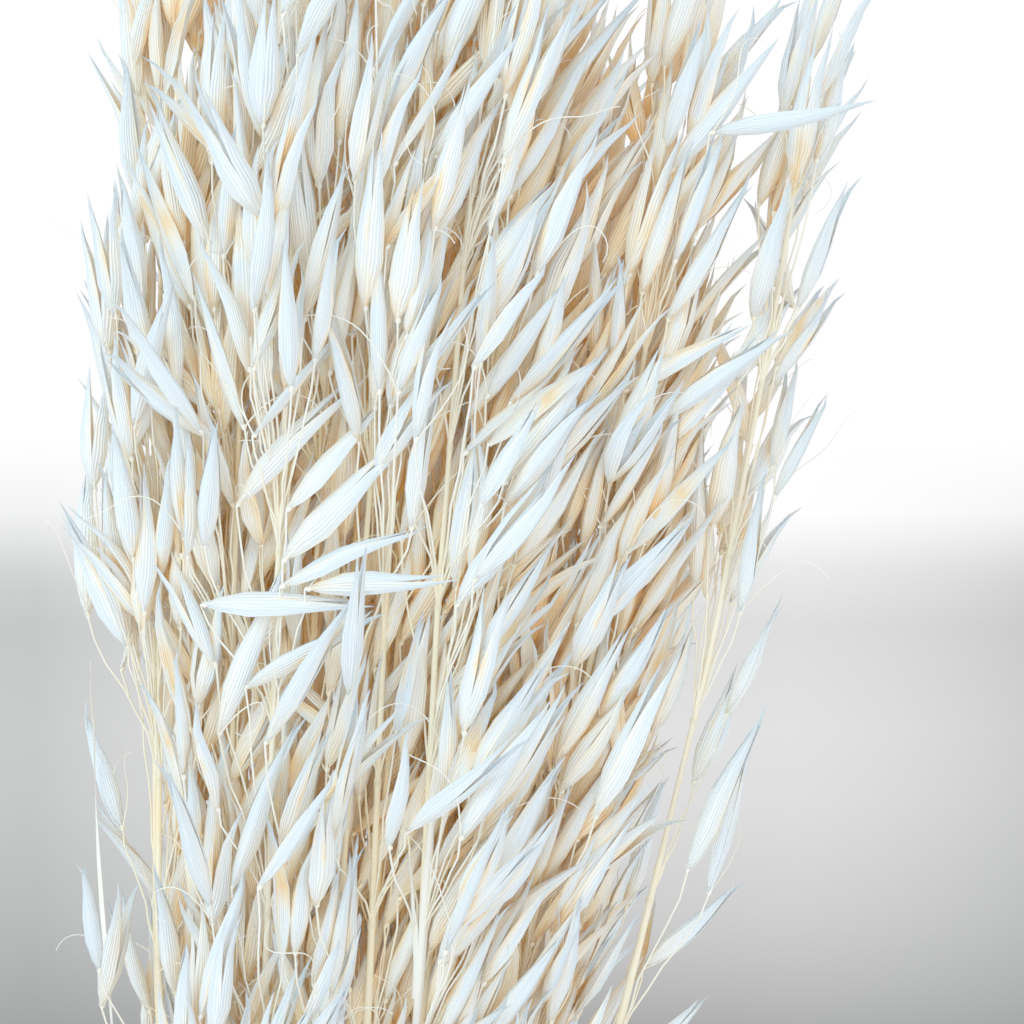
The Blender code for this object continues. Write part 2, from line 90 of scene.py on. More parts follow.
# Stems that stand out from the rest: how far each bends across by the start of its head, how much
# further by the end of it, and how far it bends up
BENDS = {
    3: (-3 * MM, -6 * MM, 0.0),
    4: (-4 * MM, -9 * MM, 0.0),
    9: (0.0, 12 * MM, 0.0),
    10: (10 * MM, 9 * MM, -10 * MM),
    11: (-10 * MM, 4 * MM, 0.0),
    17: (-6 * MM, -1 * MM, 0.0),
}
OUTER_STALKS = (9, 10, 17)
BARE_STRETCHES = {
    3: (235 * MM, 365 * MM),
    4: (255 * MM, 440 * MM),
    11: (245 * MM, 320 * MM),
    17: (235 * MM, 330 * MM),
}
BARE_HALF_WIDTH = 3.2 * MM

# Heads
HEAD_START = 222 * MM
HEAD_UNEVEN = 16 * MM
HEAD_TIP = 512 * MM
TIP_UNEVEN = 55 * MM
RIGHT_SHORTER = 75 * MM
SPIKELETS_PER_STALK = 12
LEFT_EDGE = -69 * MM
LEFT_SHOULDER = 430 * MM
RIGHT_EDGE = 57 * MM
RIGHT_SHOULDER = 425 * MM
SHOULDER_SLOPE = 0.5

# One spikelet, and the small stalk that carries it
SPIKELET_LENGTH = (20 * MM, 28 * MM)
SPIKELET_HALF_WIDTH = 2.9 * MM
SPIKELET_HALF_DEPTH = 2.3 * MM
KEEL_SHARE = 0.36
CREASE_SHARE = 0.52
MIDDLE_SHARE = 0.4
SHORTER_HUSK = 0.94
GAPE = (1.0 * MM, 2.6 * MM)
PEDICEL_ROOT_RADIUS = 0.4 * MM
PEDICEL_NECK_RADIUS = 0.6 * MM
REACH = (3.5 * MM, 15 * MM)
OUTER_REACH = (2.5 * MM, 7 * MM)
RISE = 7 * MM
RISE_PER_REACH = 1.1
RISE_UNEVEN = 5 * MM
BELOW_TIP = 20 * MM
END_ROOT = 4 * MM
END_RISE = 3 * MM
CLEARANCE = 0.3 * MM
ATTEMPTS = 300
CHOICES = 3

# Which way the spikelets lean: to the right over most of the bundle, both ways on its left
LEAN_MIDDLE = 17.0
LEAN_LEFT = -6.0
LEAN_SPREAD = 12.0
LEAN_LEFT_SPREAD = 20.0
LEFT_START = 10 * MM
LEFT_WIDTH = 35 * MM
LEAN_OUT = 8.0
TILT_OUT = 13.0
TILT_SPREAD = 8.0
CROSSWISE_SHARE = 0.03
CROSSWISE_LEANS = (-60, 60)
END_LEAN = (8, 14)
END_TILT = (0, 8)
LANDMARK_TILT = 2

# Spikelets that show by their place or their lean: across, along, lean in degrees, and length
LANDMARKS = (
    (-40 * MM, 355 * MM, 80, 28 * MM),
    (-25 * MM, 355 * MM, 60, 25 * MM),
    (-35 * MM, 370 * MM, 35, 30 * MM),
    (-35 * MM, 385 * MM, -25, 26 * MM),
    (-45 * MM, 420 * MM, -25, 26 * MM),
    (-35 * MM, 325 * MM, 15, 30 * MM),
    (-30 * MM, 295 * MM, 15, 30 * MM),
    (50 * MM, 450 * MM, 75, 26 * MM),
    (60 * MM, 305 * MM, 20, 30 * MM),
    (65 * MM, 300 * MM, 10, 30 * MM),
    (40 * MM, 315 * MM, 20, 30 * MM),
)
SHOWN_SHARES = (0.2, 0.5, 0.8)
FINE_LANDMARKS = (
    (-40 * MM, 350 * MM, 85, 27 * MM),
    (-20 * MM, 355 * MM, 80, 24 * MM),
    (-25 * MM, 360 * MM, 40, 28 * MM),
    (-30 * MM, 335 * MM, 55, 25 * MM),
    (-25 * MM, 325 * MM, 25, 30 * MM),
    (-25 * MM, 370 * MM, 40, 23 * MM),
)
FINE_REACH = 36 * MM
FINE_LIFTS = (0.0, 1.5 * MM, 3 * MM, 4.5 * MM, 6 * MM, 7.5 * MM)
CROWN_HALF_WIDTH = 72 * MM
CROWN_MARGIN = 6 * MM
CROWN_ROWS = 3
CROWN_LEAST = 0.04
LANDMARK_REACH = 24 * MM
LANDMARK_CLEAR = 5 * MM

# A dried leaf blade that stands beside one stalk, as points off its stem: across, along and up
LEAF_STALK = 17
LEAF_HALF_WIDTH = 0.8 * MM
LEAF_HALF_THICKNESS = 0.35 * MM
LEAF_TAPER = 0.55
LEAF_FROM_STEM = (
    (0.0, 160 * MM, 0.0),
    (-2.2 * MM, 185 * MM, 1.0 * MM),
    (-4.6 * MM, 215 * MM, 1.5 * MM),
    (-6.0 * MM, 250 * MM, 0.5 * MM),
    (-7.6 * MM, 285 * MM, 0.0),
    (-9.6 * MM, 315 * MM, -1.0 * MM),
    (-10.2 * MM, 335 * MM, -2.5 * MM),
)

# Twine: its gap to the stems, its reach along them on either side, and its loose ends, in millimetres
TWINE_GAP = 0.3 * MM
TWINE_HALF_WIDTH = 2.7 * MM
KNOT_HEIGHT = 1.9 * MM
SAME_DISTANCE = 0.001 * MM
TAILS = (
    ((0.0, 0.0, 0.0), (4.0, 2.5, 1.2), (9.0, 6.5, 2.2), (14.0, 12.5, 3.2), (17.0, 20.0, 4.4)),
    ((0.0, 0.0, 0.0), (-4.0, -1.5, 1.2), (-8.5, -5.0, 1.6), (-11.0, -10.5, 1.4), (-12.0, -17.0, 1.6)),
)

SEED = 11


def smooth(value):
    """Ease a value from 0 to 1."""
    held = min(max(value, 0.0), 1.0)
    return held * held * (3 - 2 * held)


def fan(along, amount):
    """How many times further apart the stems are than at the tie."""
    if along <= 0:
        return 1 + (CUT_FAN - 1) * along / CUT_ALONG
    return 1 + amount * (1 - math.exp(-((along / FAN_LENGTH) ** FAN_POWER)))


def lattice(count, pitch):
    """The count points of a close-packed pattern that lie nearest its middle, row by row."""
    row_pitch = pitch * math.sqrt(3) / 2
    points = []
    for row in range(-MOST_ROWS, MOST_ROWS + 1):
        for column in range(-MOST_ROWS, MOST_ROWS + 1):
            across = (column + 0.5 * (row % 2) + PATTERN_SHIFT[0]) * pitch
            up = (row + PATTERN_SHIFT[1]) * row_pitch
            points.append((round(math.hypot(across, up), 9), across, up))
    nearest = sorted(points)[:count]
    return sorted(((across, up) for distance, across, up in nearest), key=lambda p: (-p[1], p[0]))


class Stalk:
    """One stalk: the line that its stem follows, and where its head starts and ends."""

    def __init__(self, number, across, up, lowest, draw):
        self.number = number
        self.name = f"oat_stalk_{number:02d}"
        self.across = across
        self.up = up
        self.lowest = lowest
        self.outer = number in OUTER_STALKS
        self.bend = BENDS.get(number, (0.0, 0.0, 0.0))
        self.sway = (draw.uniform(-1, 1), draw.uniform(-1, 1))
        self.cut = CUT_ALONG + draw.uniform(0, CUT_UNEVEN) * (up > lowest)
        self.head = HEAD_START + draw.uniform(-HEAD_UNEVEN, HEAD_UNEVEN)
        self.tip = HEAD_TIP - draw.uniform(0, TIP_UNEVEN)
        if not self.outer:
            self.tip -= RIGHT_SHORTER * smooth((across - STEM_PITCH) / (2 * STEM_PITCH))
        passed = [along for along in STATIONS if along < self.tip - SHORTEST_STRETCH]
        self.points = [self.centre(along) for along in (self.cut, *passed, self.tip)]
        self.spikelets = []

    def centre(self, along):
        """The middle of the stem where it crosses one distance along the bundle."""
        middle = TIE_HEIGHT + HEAD_RISE * along
        if along < 0:
            cut_height = STEM_RADIUS * math.cos(math.pi / STEM_SIDES) - self.lowest * CUT_FAN
            middle = TIE_HEIGHT + (cut_height - TIE_HEIGHT) * along / CUT_ALONG
        start, middle_station, end = STATIONS[2], STATIONS[3], STATIONS[5]
        opened = smooth(along / middle_station)
        later = smooth((along - start) / (end - start))
        swung = smooth((along - SWAY_START) / (end - SWAY_START))
        across = self.across * fan(along, FAN_ACROSS)
        if across > 0 and not self.outer:
            across *= 1 - RIGHT_SQUEEZE * opened
        across += self.bend[0] * opened + self.bend[1] * later + self.sway[0] * SWAY_ACROSS * swung
        up = middle + self.up * fan(along, FAN_UP)
        up += self.bend[2] * opened + self.sway[1] * SWAY_UP * swung
        return Vector((across, along, up))

    def at(self, along):
        """The point of the stem's own straight stretches at one distance along the bundle."""
        for start, end in zip(self.points, self.points[1:]):
            if along <= end.y:
                break
        return start.lerp(end, (along - start.y) / (end.y - start.y))

    def radius(self, along):
        """The stem thins from its tie to its head, and again along the head."""
        if along < self.head:
            return STEM_RADIUS + (RACHIS_RADIUS - STEM_RADIUS) * max(along, 0.0) / self.head
        return RACHIS_RADIUS + (TIP_RADIUS - RACHIS_RADIUS) * (along - self.head) / (self.tip - self.head)


def ring(centre, axis, side, radius, count, start=0.0):
    """Points round an axis, the first one turned from the side direction by the start angle."""
    across = (side - axis * side.dot(axis)).normalized()
    depth = axis.cross(across)
    turns = [start + math.tau * step / count for step in range(count)]
    return [centre + (across * math.cos(turn) + depth * math.sin(turn)) * radius for turn in turns]


def tube_faces(rings, sides):
    """The sides and two ends of a closed tube whose rings of points follow each other."""
    faces = [tuple(reversed(range(sides))), tuple(range((rings - 1) * sides, rings * sides))]
    for row in range(rings - 1):
        for step in range(sides):
            a = row * sides + step
            b = row * sides + (step + 1) % sides
            faces.append((a, b, b + sides, a + sides))
    return faces


def stem_tube(centres, radii):
    """Points and faces of a stem. Its rings all face along the bundle, so that its sides are flat."""
    points = []
    for centre, radius in zip(centres, radii):
        points += ring(centre, Vector((0, 1, 0)), Vector((1, 0, 0)), radius, STEM_SIDES, math.pi / 4)
    return points, tube_faces(len(centres), STEM_SIDES)


def leaf_blade(stalk):
    """Points and faces of the dried leaf blade beside a stalk: a thin strip, rooted in its stem."""
    points = []
    for index, (across, along, up) in enumerate(LEAF_FROM_STEM):
        thin = 1 - LEAF_TAPER * index / (len(LEAF_FROM_STEM) - 1)
        middle = stalk.at(along) + Vector((across, 0, up))
        for side, level in ((-1, -1), (1, -1), (1, 1), (-1, 1)):
            edge = Vector((side * LEAF_HALF_WIDTH * thin, 0, level * LEAF_HALF_THICKNESS))
            points.append(middle + edge)
    faces = tube_faces(len(LEAF_FROM_STEM), 4)
    return points, [tuple(reversed(face)) for face in faces]


# The corner points of a spikelet: three at its root, three at its neck, then its keels, its
# creases and its tips
NECK, LEFT, RIGHT, FRONT, BACK, LEFT_TIP, RIGHT_TIP = 3, 6, 7, 8, 9, 10, 11
BODY_FACES = [
    (NECK, NECK + 1, FRONT), (NECK, FRONT, RIGHT), (NECK + 1, NECK + 2, LEFT),
    (NECK + 1, LEFT, FRONT), (NECK + 2, BACK, LEFT), (NECK + 2, NECK, BACK), (NECK, RIGHT, BACK),
    (RIGHT, FRONT, RIGHT_TIP), (BACK, RIGHT, RIGHT_TIP), (FRONT, BACK, RIGHT_TIP),
    (FRONT, LEFT, LEFT_TIP), (LEFT, BACK, LEFT_TIP), (BACK, FRONT, LEFT_TIP),
]
PEDICEL_FACES = [(2, 1, 0), (0, 1, 4, 3), (1, 2, 5, 4), (2, 0, 3, 5)]
SPIKELET_FACES = PEDICEL_FACES + BODY_FACES


class Spikelet:
    """One spikelet on its pedicel: two keeled husks that part in a V towards their tips."""

    def __init__(self, root, base, axis, length, draw):
        self.root = root
        self.base = base
        self.axis = axis
        self.length = length
        roll = draw.uniform(-0.5, 0.5) * math.pi
        level = axis.cross(Vector((0, 0, 1))).normalized()
        self.side = level * math.cos(roll) + axis.cross(level) * math.sin(roll)
        self.gape = draw.uniform(*GAPE)
        self.shown = False
        lowest = min(point.z for point in self.shell()[NECK:])
        if lowest < 0:
            self.base = self.base - Vector((0, 0, lowest))

    def shell(self, grow=0.0):
        """Its twelve corner points, grown by a clearance where one is given."""
        depth = self.axis.cross(self.side)
        keel = self.base + self.axis * self.length * KEEL_SHARE
        crease = self.base + self.axis * self.length * CREASE_SHARE
        half_width = SPIKELET_HALF_WIDTH + grow
        half_depth = SPIKELET_HALF_DEPTH + grow
        carrier = (self.base - self.root).normalized()
        points = ring(self.root, carrier, self.side, PEDICEL_ROOT_RADIUS + grow, 3)
        points += ring(self.base, carrier, self.side, PEDICEL_NECK_RADIUS + grow, 3)
        points += [keel - self.side * half_width, keel + self.side * half_width]
        points += [crease + depth * half_depth, crease - depth * half_depth]
        points += [self.base + self.axis * (self.length + grow) - self.side * self.gape]
        points += [self.base + self.axis * (self.length * SHORTER_HUSK + grow) + self.side * self.gape]
        return points

    def middle(self):
        """The middle of its body."""
        return self.base + self.axis * self.length * MIDDLE_SHARE


class Room:
    """What has been placed so far, so that nothing new goes through it."""

    def __init__(self):
        self.low = numpy.empty((0, 3))
        self.high = numpy.empty((0, 3))
        self.items = []

    def add(self, owner, points, faces, own_faces=None):
        """Remember a closed shape of one stalk, and the part of it that its own stalk avoids."""
        corners = numpy.array(points)
        self.low = numpy.vstack([self.low, corners.min(axis=0)])
        self.high = numpy.vstack([self.high, corners.max(axis=0)])
        whole = BVHTree.FromPolygons(points, faces)
        own = BVHTree.FromPolygons(points, own_faces) if own_faces else whole
        self.items.append((owner, whole, own))

    def takes(self, owner, points):
        """True where a new spikelet of one stalk crosses nothing."""
        corners = numpy.array(points)
        above = (self.high > corners.min(axis=0)).all(axis=1)
        below = (self.low < corners.max(axis=0)).all(axis=1)
        near = numpy.nonzero(above & below)[0]
        if len(near) == 0:
            return True
        whole = BVHTree.FromPolygons(points, SPIKELET_FACES)
        body = BVHTree.FromPolygons(points, BODY_FACES)
        for index in near:
            other, other_whole, other_own = self.items[index]
            crossing = body.overlap(other_own) if other is owner else whole.overlap(other_whole)
            if crossing:
                return False
        return True


def direction(lean, tilt):
    """A unit direction that leans from +Y towards +X and tilts up, both in degrees."""
    lean = math.radians(lean)
    tilt = math.radians(tilt)
    return Vector((math.sin(lean) * math.cos(tilt), math.cos(lean) * math.cos(tilt), math.sin(tilt)))


def side_spikelet(stalk, crosswise, draw):
    """Draw a spikelet that stands off the stem on its pedicel, somewhere along the head."""
    station = draw.uniform(stalk.head, stalk.tip - BELOW_TIP)
    reach = draw.uniform(*(OUTER_REACH if stalk.outer else REACH))
    turn = draw.uniform(0, math.tau)
    along = station + RISE + RISE_PER_REACH * reach + draw.uniform(0, RISE_UNEVEN)
    base = stalk.centre(along) + Vector((math.cos(turn), 0, math.sin(turn))) * reach
    left = smooth((-base.x - LEFT_START) / LEFT_WIDTH)
    lean = LEAN_MIDDLE + (LEAN_LEFT - LEAN_MIDDLE) * left + LEAN_OUT * math.cos(turn)
    lean += draw.gauss(0, LEAN_SPREAD + (LEAN_LEFT_SPREAD - LEAN_SPREAD) * left)
    if draw.random() < crosswise:
        lean += draw.choice(CROSSWISE_LEANS)
    tilt = TILT_OUT * math.sin(turn) + draw.gauss(0, TILT_SPREAD)
    length = draw.uniform(*SPIKELET_LENGTH)
    return Spikelet(stalk.at(station), base, direction(lean, tilt), length, draw)


def end_spikelet(stalk, draw):
    """Draw the spikelet that ends a stem."""
    base = stalk.points[-1] + Vector((0, END_RISE, 0))
    axis = direction(draw.gauss(*END_LEAN), draw.gauss(*END_TILT))
    return Spikelet(stalk.at(stalk.tip - END_ROOT), base, axis, draw.uniform(*SPIKELET_LENGTH), draw)


def in_outline(stalk, spikelet):
    """True inside the bundle's outline."""
    end = spikelet.base + spikelet.axis * spikelet.length
    right_edge = RIGHT_EDGE - max(end.y - RIGHT_SHOULDER, 0) * SHOULDER_SLOPE
    left_edge = LEFT_EDGE + max(end.y - LEFT_SHOULDER, 0) * SHOULDER_SLOPE
    return stalk.outer or left_edge < end.x < right_edge


def shown_places(landmarks):
    """The places that each landmark covers, and how high something must be to cover it."""
    places = []
    for across, along, lean, length in landmarks:
        for share in SHOWN_SHARES:
            shown = Vector((across, along, 0)) + direction(lean, 0) * length * share
            places.append((shown.x, shown.y, crown(across, along) - LANDMARK_CLEAR))
    return places


def hides_nothing(spikelet, stalks, places, stretches):
    """True where a spikelet is off the stems that stay bare, and not over a landmark."""
    end = spikelet.base + spikelet.axis * spikelet.length
    for point in (spikelet.base, spikelet.middle(), end):
        for number, (start, stop) in stretches.items():
            stem = stalks[number - 1].centre(point.y)
            beside = abs(point.x - stem.x) < BARE_HALF_WIDTH
            if beside and start < point.y < stop and point.z > stem.z:
                return False
        for x, y, height in places:
            if point.z > height and math.hypot(point.x - x, point.y - y) < LANDMARK_CLEAR:
                return False
    return True


def crown(across, along):
    """The height of the bundle's upper side over one place."""
    middle = TIE_HEIGHT + HEAD_RISE * along
    rise = CROWN_ROWS * STEM_PITCH * fan(along, FAN_UP) + CROWN_MARGIN
    return middle + rise * math.sqrt(max(1 - (across / CROWN_HALF_WIDTH) ** 2, CROWN_LEAST))


def place_landmarks(landmarks, most_reach, stalks, room, draw, lift=0.0):
    """Put each landmark spikelet on the nearest stalk whose pedicel reaches it freely."""
    for across, along, lean, length in landmarks:
        base = Vector((across, along, crown(across, along) + lift))
        near = sorted(stalks, key=lambda stalk: (stalk.centre(along) - base).length)
        for stalk in near:
            reach = (stalk.centre(along) - base).length
            if reach > most_reach:
                break
            root = stalk.at(along - RISE - RISE_PER_REACH * reach)
            spikelet = Spikelet(root, base, direction(lean, LANDMARK_TILT), length, draw)
            if keep(stalk, spikelet, room):
                spikelet.shown = True
                break


def keep(stalk, spikelet, room):
    """Add a spikelet to its stalk where there is room for it."""
    if not room.takes(stalk, spikelet.shell(CLEARANCE)):
        return False
    room.add(stalk, spikelet.shell(), SPIKELET_FACES, BODY_FACES)
    stalk.spikelets.append(spikelet)
    return True


def lay_bundle(draw):
    """All stalks, each with its stem's line fixed and its spikelets placed on it."""
    places = lattice(STALK_COUNT, STEM_PITCH)
    lowest = min(up for across, up in places)
    stalks = [Stalk(i + 1, across, up, lowest, draw) for i, (across, up) in enumerate(places)]
    room = Room()
    for stalk in stalks:
        for start, end in zip(stalk.points, stalk.points[1:]):
            radii = [stalk.radius(start.y), stalk.radius(end.y)]
            room.add(stalk, *stem_tube([start, end], radii))
    room.add(stalks[LEAF_STALK - 1], *leaf_blade(stalks[LEAF_STALK - 1]))
    place_landmarks(LANDMARKS, LANDMARK_REACH, stalks, room, draw)
    for stalk in stalks:
        attempts = (end_spikelet(stalk, draw) for attempt in range(ATTEMPTS))
        any(keep(stalk, spikelet, room) for spikelet in attempts)
    places = shown_places(LANDMARKS)
    for count in range(1, SPIKELETS_PER_STALK + 1):
        for stalk in stalks:
            if len(stalk.spikelets) < count:
                grow_one(stalk, stalks, room, places, draw)
    return stalks, room


def grow_one(stalk, stalks, room, places, draw):
    """Add one spikelet to a stalk: the roomiest of a few that fit."""
    placed = [other.middle() for near in stalks for other in near.spikelets]
    best, widest = None, 0.0
    fitting = 0
    for attempt in range(ATTEMPTS):
        spikelet = side_spikelet(stalk, CROSSWISE_SHARE, draw)
        shown = in_outline(stalk, spikelet)
        shown = shown and hides_nothing(spikelet, stalks, places, BARE_STRETCHES)
        if shown and room.takes(stalk, spikelet.shell(CLEARANCE)):
            fitting += 1
            gap = min((spikelet.middle() - point).length for point in placed)
            if gap > widest:
                best, widest = spikelet, gap
            if fitting == CHOICES:
                break
    if best:
        keep(stalk, best, room)


def hold_point(stalks, normal):
    """Where the twine lies against the stems on one side, clear of every stem that it holds."""
    edges = (-TWINE_HALF_WIDTH, TWINE_HALF_WIDTH)
    centres = [stalk.at(along) for stalk in stalks for along in edges]
    farthest = max(centre.dot(normal) for centre in centres)
    beside = Vector((-normal.z, 0, normal.x))
    outer = [centre for centre in centres if centre.dot(normal) > farthest - SAME_DISTANCE]
    middle = sum(centre.dot(beside) for centre in outer) / len(outer)
    return normal * (farthest + STEM_RADIUS + TWINE_GAP) + beside * middle


# The spikelets that fill the heads out: how many a stalk, how deep, and how far pressed into others
EXTRA_TURNS = 56
EXTRA_DEEPEST = 0.65
EXTRA_ATTEMPTS = 60
EXTRA_PRESSED = -1.1 * MM
EXTRA_CROSSWISE = 0.006
MOST_SPIKELETS = {10: 42}
FINE_BARE_STRETCHES = {**BARE_STRETCHES, 10: (260 * MM, 430 * MM)}

# Two places at the foot of the heads where floor shows between the stems: the left one's edge across
# and its end along, and the right one's slanting edge, by a place on it, its end along and its slope
LEFT_CLEAR = (-50 * MM, 330 * MM)
RIGHT_CLEAR = (44 * MM, 287 * MM, 350 * MM)
RIGHT_CLEAR_SLOPE = 0.18

# A gap that one looks deep into: places in millimetres across and along, and its depth
DEEP_GAP = ((-12, 470), (-14, 459), (-17, 448), (-19, 437), (-22, 427))
DEEP_GAP_DEPTH = 24 * MM

# The depth over which the bundle goes from its skin to well inside
SKIN_DEPTH = 20 * MM


def depth_inside(point):
    """How deep inside the bundle a point is: 0 at its skin, 1 well inside."""
    middle = TIE_HEIGHT + HEAD_RISE * point.y
    half_height = CROWN_ROWS * STEM_PITCH * fan(point.y, FAN_UP) + CROWN_MARGIN
    half_width = CROWN_HALF_WIDTH * half_height / (CROWN_ROWS * STEM_PITCH * (1 + FAN_UP))
    reach = math.hypot(point.x / half_width, (point.z - middle) / half_height)
    return min(max((1 - reach) * half_height / SKIN_DEPTH, 0.0), 1.0)


def fits_box(spikelet, low, high):
    """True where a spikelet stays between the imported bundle's sides and above its floor."""
    return all(
        low[axis] < point[axis] < high[axis] for point in spikelet.shell() for axis in range(3)
    )


def stands_clear(spikelet):
    """True off the two places where floor shows."""
    end = spikelet.base + spikelet.axis * spikelet.length
    if spikelet.base.y < LEFT_CLEAR[1] and min(spikelet.base.x, end.x) < LEFT_CLEAR[0]:
        return False
    for point in (spikelet.base, end):
        edge = RIGHT_CLEAR[0] + (point.y - RIGHT_CLEAR[1]) * RIGHT_CLEAR_SLOPE
        if point.y < RIGHT_CLEAR[2] and point.x > edge:
            return False
    return True


def squeeze_one_in(stalk, stalks, room, places, low, high, draw):
    """Add one more spikelet to a stalk, pressed a little into its neighbours, if any fits."""
    for attempt in range(EXTRA_ATTEMPTS):
        spikelet = side_spikelet(stalk, EXTRA_CROSSWISE, draw)
        shown = (
            in_outline(stalk, spikelet)
            and fits_box(spikelet, low, high)
            and stands_clear(spikelet)
            and depth_inside(spikelet.middle()) < EXTRA_DEEPEST
            and hides_nothing(spikelet, stalks, places, FINE_BARE_STRETCHES)
        )
        if shown and room.takes(stalk, spikelet.shell(EXTRA_PRESSED)):
            room.add(stalk, spikelet.shell(EXTRA_PRESSED), SPIKELET_FACES, BODY_FACES)
            stalk.spikelets.append(spikelet)
            break


def thicken(stalks, room, low, high, draw):
    """Fill the heads out with more spikelets between those of the frame."""
    for landmark in FINE_LANDMARKS:
        before = len(room.items)
        for lift in FINE_LIFTS:
            if len(room.items) == before:
                place_landmarks([landmark], FINE_REACH, stalks, room, draw, lift)
    places = shown_places(LANDMARKS + FINE_LANDMARKS)
    for across, along in DEEP_GAP:
        height = crown(across * MM, along * MM) - DEEP_GAP_DEPTH
        places.append((across * MM, along * MM, height))
    most = SPIKELETS_PER_STALK + EXTRA_TURNS
    for turn in range(EXTRA_TURNS):
        for stalk in stalks:
            if len(stalk.spikelets) < MOST_SPIKELETS.get(stalk.number, most):
                squeeze_one_in(stalk, stalks, room, places, low, high, draw)


# Husks: how each of a pair fits the other, by a shift and a share of depth, its shares of length and
# of curl, the outline as shares of length and half width, and where each part of the curl is turned
HUSK_LENGTH = 25 * MM
HUSK_HALF_WIDTH = 2.8 * MM
HUSK_HALF_DEPTH = 2.1 * MM
HUSK_FITS = ((-0.65 * MM, 1.05), (-0.2 * MM, 0.97))
HUSK_SHARES = ((1.0, 1.0), (0.93, 0.6))
HUSK_SIDES = 8
HUSK_HOLLOW = 0.75
HUSK_OUTLINE = (
    (0.0, 0.2), (0.1, 0.64), (0.27, 1.0), (0.47, 0.92), (0.67, 0.57), (0.87, 0.22), (1.0, 0.0),
)
HUSK_CURLS = ((0.5, 0.4), (0.72, 0.6))
HUSK_TIP_CURL = (0.86, -1.6)
HUSK_SHARP_EDGE = math.radians(55)
AT_MIDDLE = 0.001
AT_STATION = 0.01 * MM

# The floret that shows between gaping husks: its width, length and depth are shares of a husk's
FLORET_SIDES = 6
FLORET_OUTLINE = ((0.0, 0.12), (0.15, 0.6), (0.4, 1.0), (0.7, 0.6), (1.0, 0.0))
FLORET_SIZE = (0.45, 0.7, 0.5)

# How much a copy differs from its kind
LENGTH_SHARE = 1.24
OWN_BEND = 1.2 * MM
OWN_WAVE = 0.45 * MM
OWN_WAVES = 1.1
OWN_WIDTH = (0.86, 1.18)
OWN_DEPTH_INSIDE = 0.1

# Kinds of spikelet: width, depth, how far each husk leans out, how far its tip curls out again, how
# far the pair twists, in degrees, and whether a floret shows between them
KINDS = (
    ("closed", 1.0, 1.0, (1.5, 1), 3, 5, False),
    ("closed_flat", 1.05, 0.6, (1, 2), 5, -6, False),
    ("parted", 1.0, 0.9, (2.5, 2.5), 7, 0, False),
    ("closed_slim", 0.72, 0.9, (1, 1), -4, -12, False),
    ("closed_plump", 1.08, 1.0, (2, 1), 2, 8, False),
    ("parted_bent", 0.9, 0.85, (4, 1.5), -12, 14, False),
    ("parted_long", 0.78, 0.8, (3, 2), 13, -18, False),
    ("forked", 0.96, 0.85, (5, 3.5), 12, 6, False),
    ("forked_flat", 0.9, 0.55, (4, 4), 16, -10, False),
    ("forked_wide", 0.92, 0.9, (9, 6), -9, -8, True),
    ("gaping", 0.98, 0.9, (14, 10), -14, 10, True),
    ("single", 1.0, 0.7, (5,), 9, 16, False),
    ("single_slim", 0.6, 0.8, (3,), -12, 24, False),
    ("single_curled", 0.8, 0.7, (8,), 22, -34, False),
    ("twisted", 0.72, 0.8, (3, 5), 12, 60, False),
    ("shrunk", 0.6, 0.7, (2, 4), -10, -70, False),
)
KIND_WEIGHTS = (5, 5, 6, 5, 4, 5, 5, 6, 5, 2, 1, 2, 3, 2, 3, 2)
SHOWN_KINDS = 3


def select_nothing():
    """Leave no piece selected."""
    bpy.ops.object.select_all(action="DESELECT")


def select_only(*pieces):
    """Select these pieces alone, the first one active."""
    select_nothing()
    for piece in pieces:
        piece.select_set(True)
    bpy.context.view_layer.objects.active = pieces[0]


def joined(pieces):
    """Make one piece of several."""
    select_only(*pieces)
    if len(pieces) > 1:
        bpy.ops.object.join()
    return pieces[0]


def pick(piece, wanted=None):
    """Go into edit mode with all corner points selected, or only those that are wanted."""
    select_only(piece)
    bpy.ops.object.mode_set(mode="EDIT")
    bpy.ops.mesh.select_mode(type="VERT")
    bpy.ops.mesh.select_all(action="DESELECT" if wanted else "SELECT")
    if wanted:
        bpy.ops.object.mode_set(mode="OBJECT")
        for vertex in piece.data.vertices:
            vertex.select = wanted(vertex.co)
        bpy.ops.object.mode_set(mode="EDIT")


def resize(piece, size, wanted=None):
    """Resize a piece about its base, or only the corner points that are wanted."""
    pick(piece, wanted)
    bpy.ops.transform.resize(value=size, center_override=(0, 0, 0))
    bpy.ops.object.mode_set(mode="OBJECT")


def rotate(piece, degrees, axis, start=0.0, wanted=None):
    """Rotate a piece about one place along it, or only the corner points that are wanted."""
    pick(piece, wanted)
    turn = math.radians(degrees)
    bpy.ops.transform.rotate(value=turn, orient_axis=axis, center_override=(0, start, 0))
    bpy.ops.object.mode_set(mode="OBJECT")


def disc(sides, radius):
    """A flat disc that faces along Y, to be drawn out into a body."""
    select_nothing()
    bpy.ops.mesh.primitive_circle_add(
        vertices=sides, radius=radius, fill_type="NGON", rotation=(math.pi / 2, 0, 0)
    )
    bpy.ops.object.transform_apply(location=False, rotation=True, scale=False)
    return bpy.context.object


def draw_ring_out(step, share, centre):
    """Draw the selected ring out by a step, and resize it across."""
    bpy.ops.mesh.extrude_region_move(TRANSFORM_OT_translate={"value": step})
    bpy.ops.transform.resize(value=(share, 1, share), center_override=centre)


def close_body():
    """Leave edit mode with every face turned outwards."""
    bpy.ops.mesh.select_all(action="SELECT")
    bpy.ops.mesh.normals_make_consistent(inside=False)
    bpy.ops.object.mode_set(mode="OBJECT")


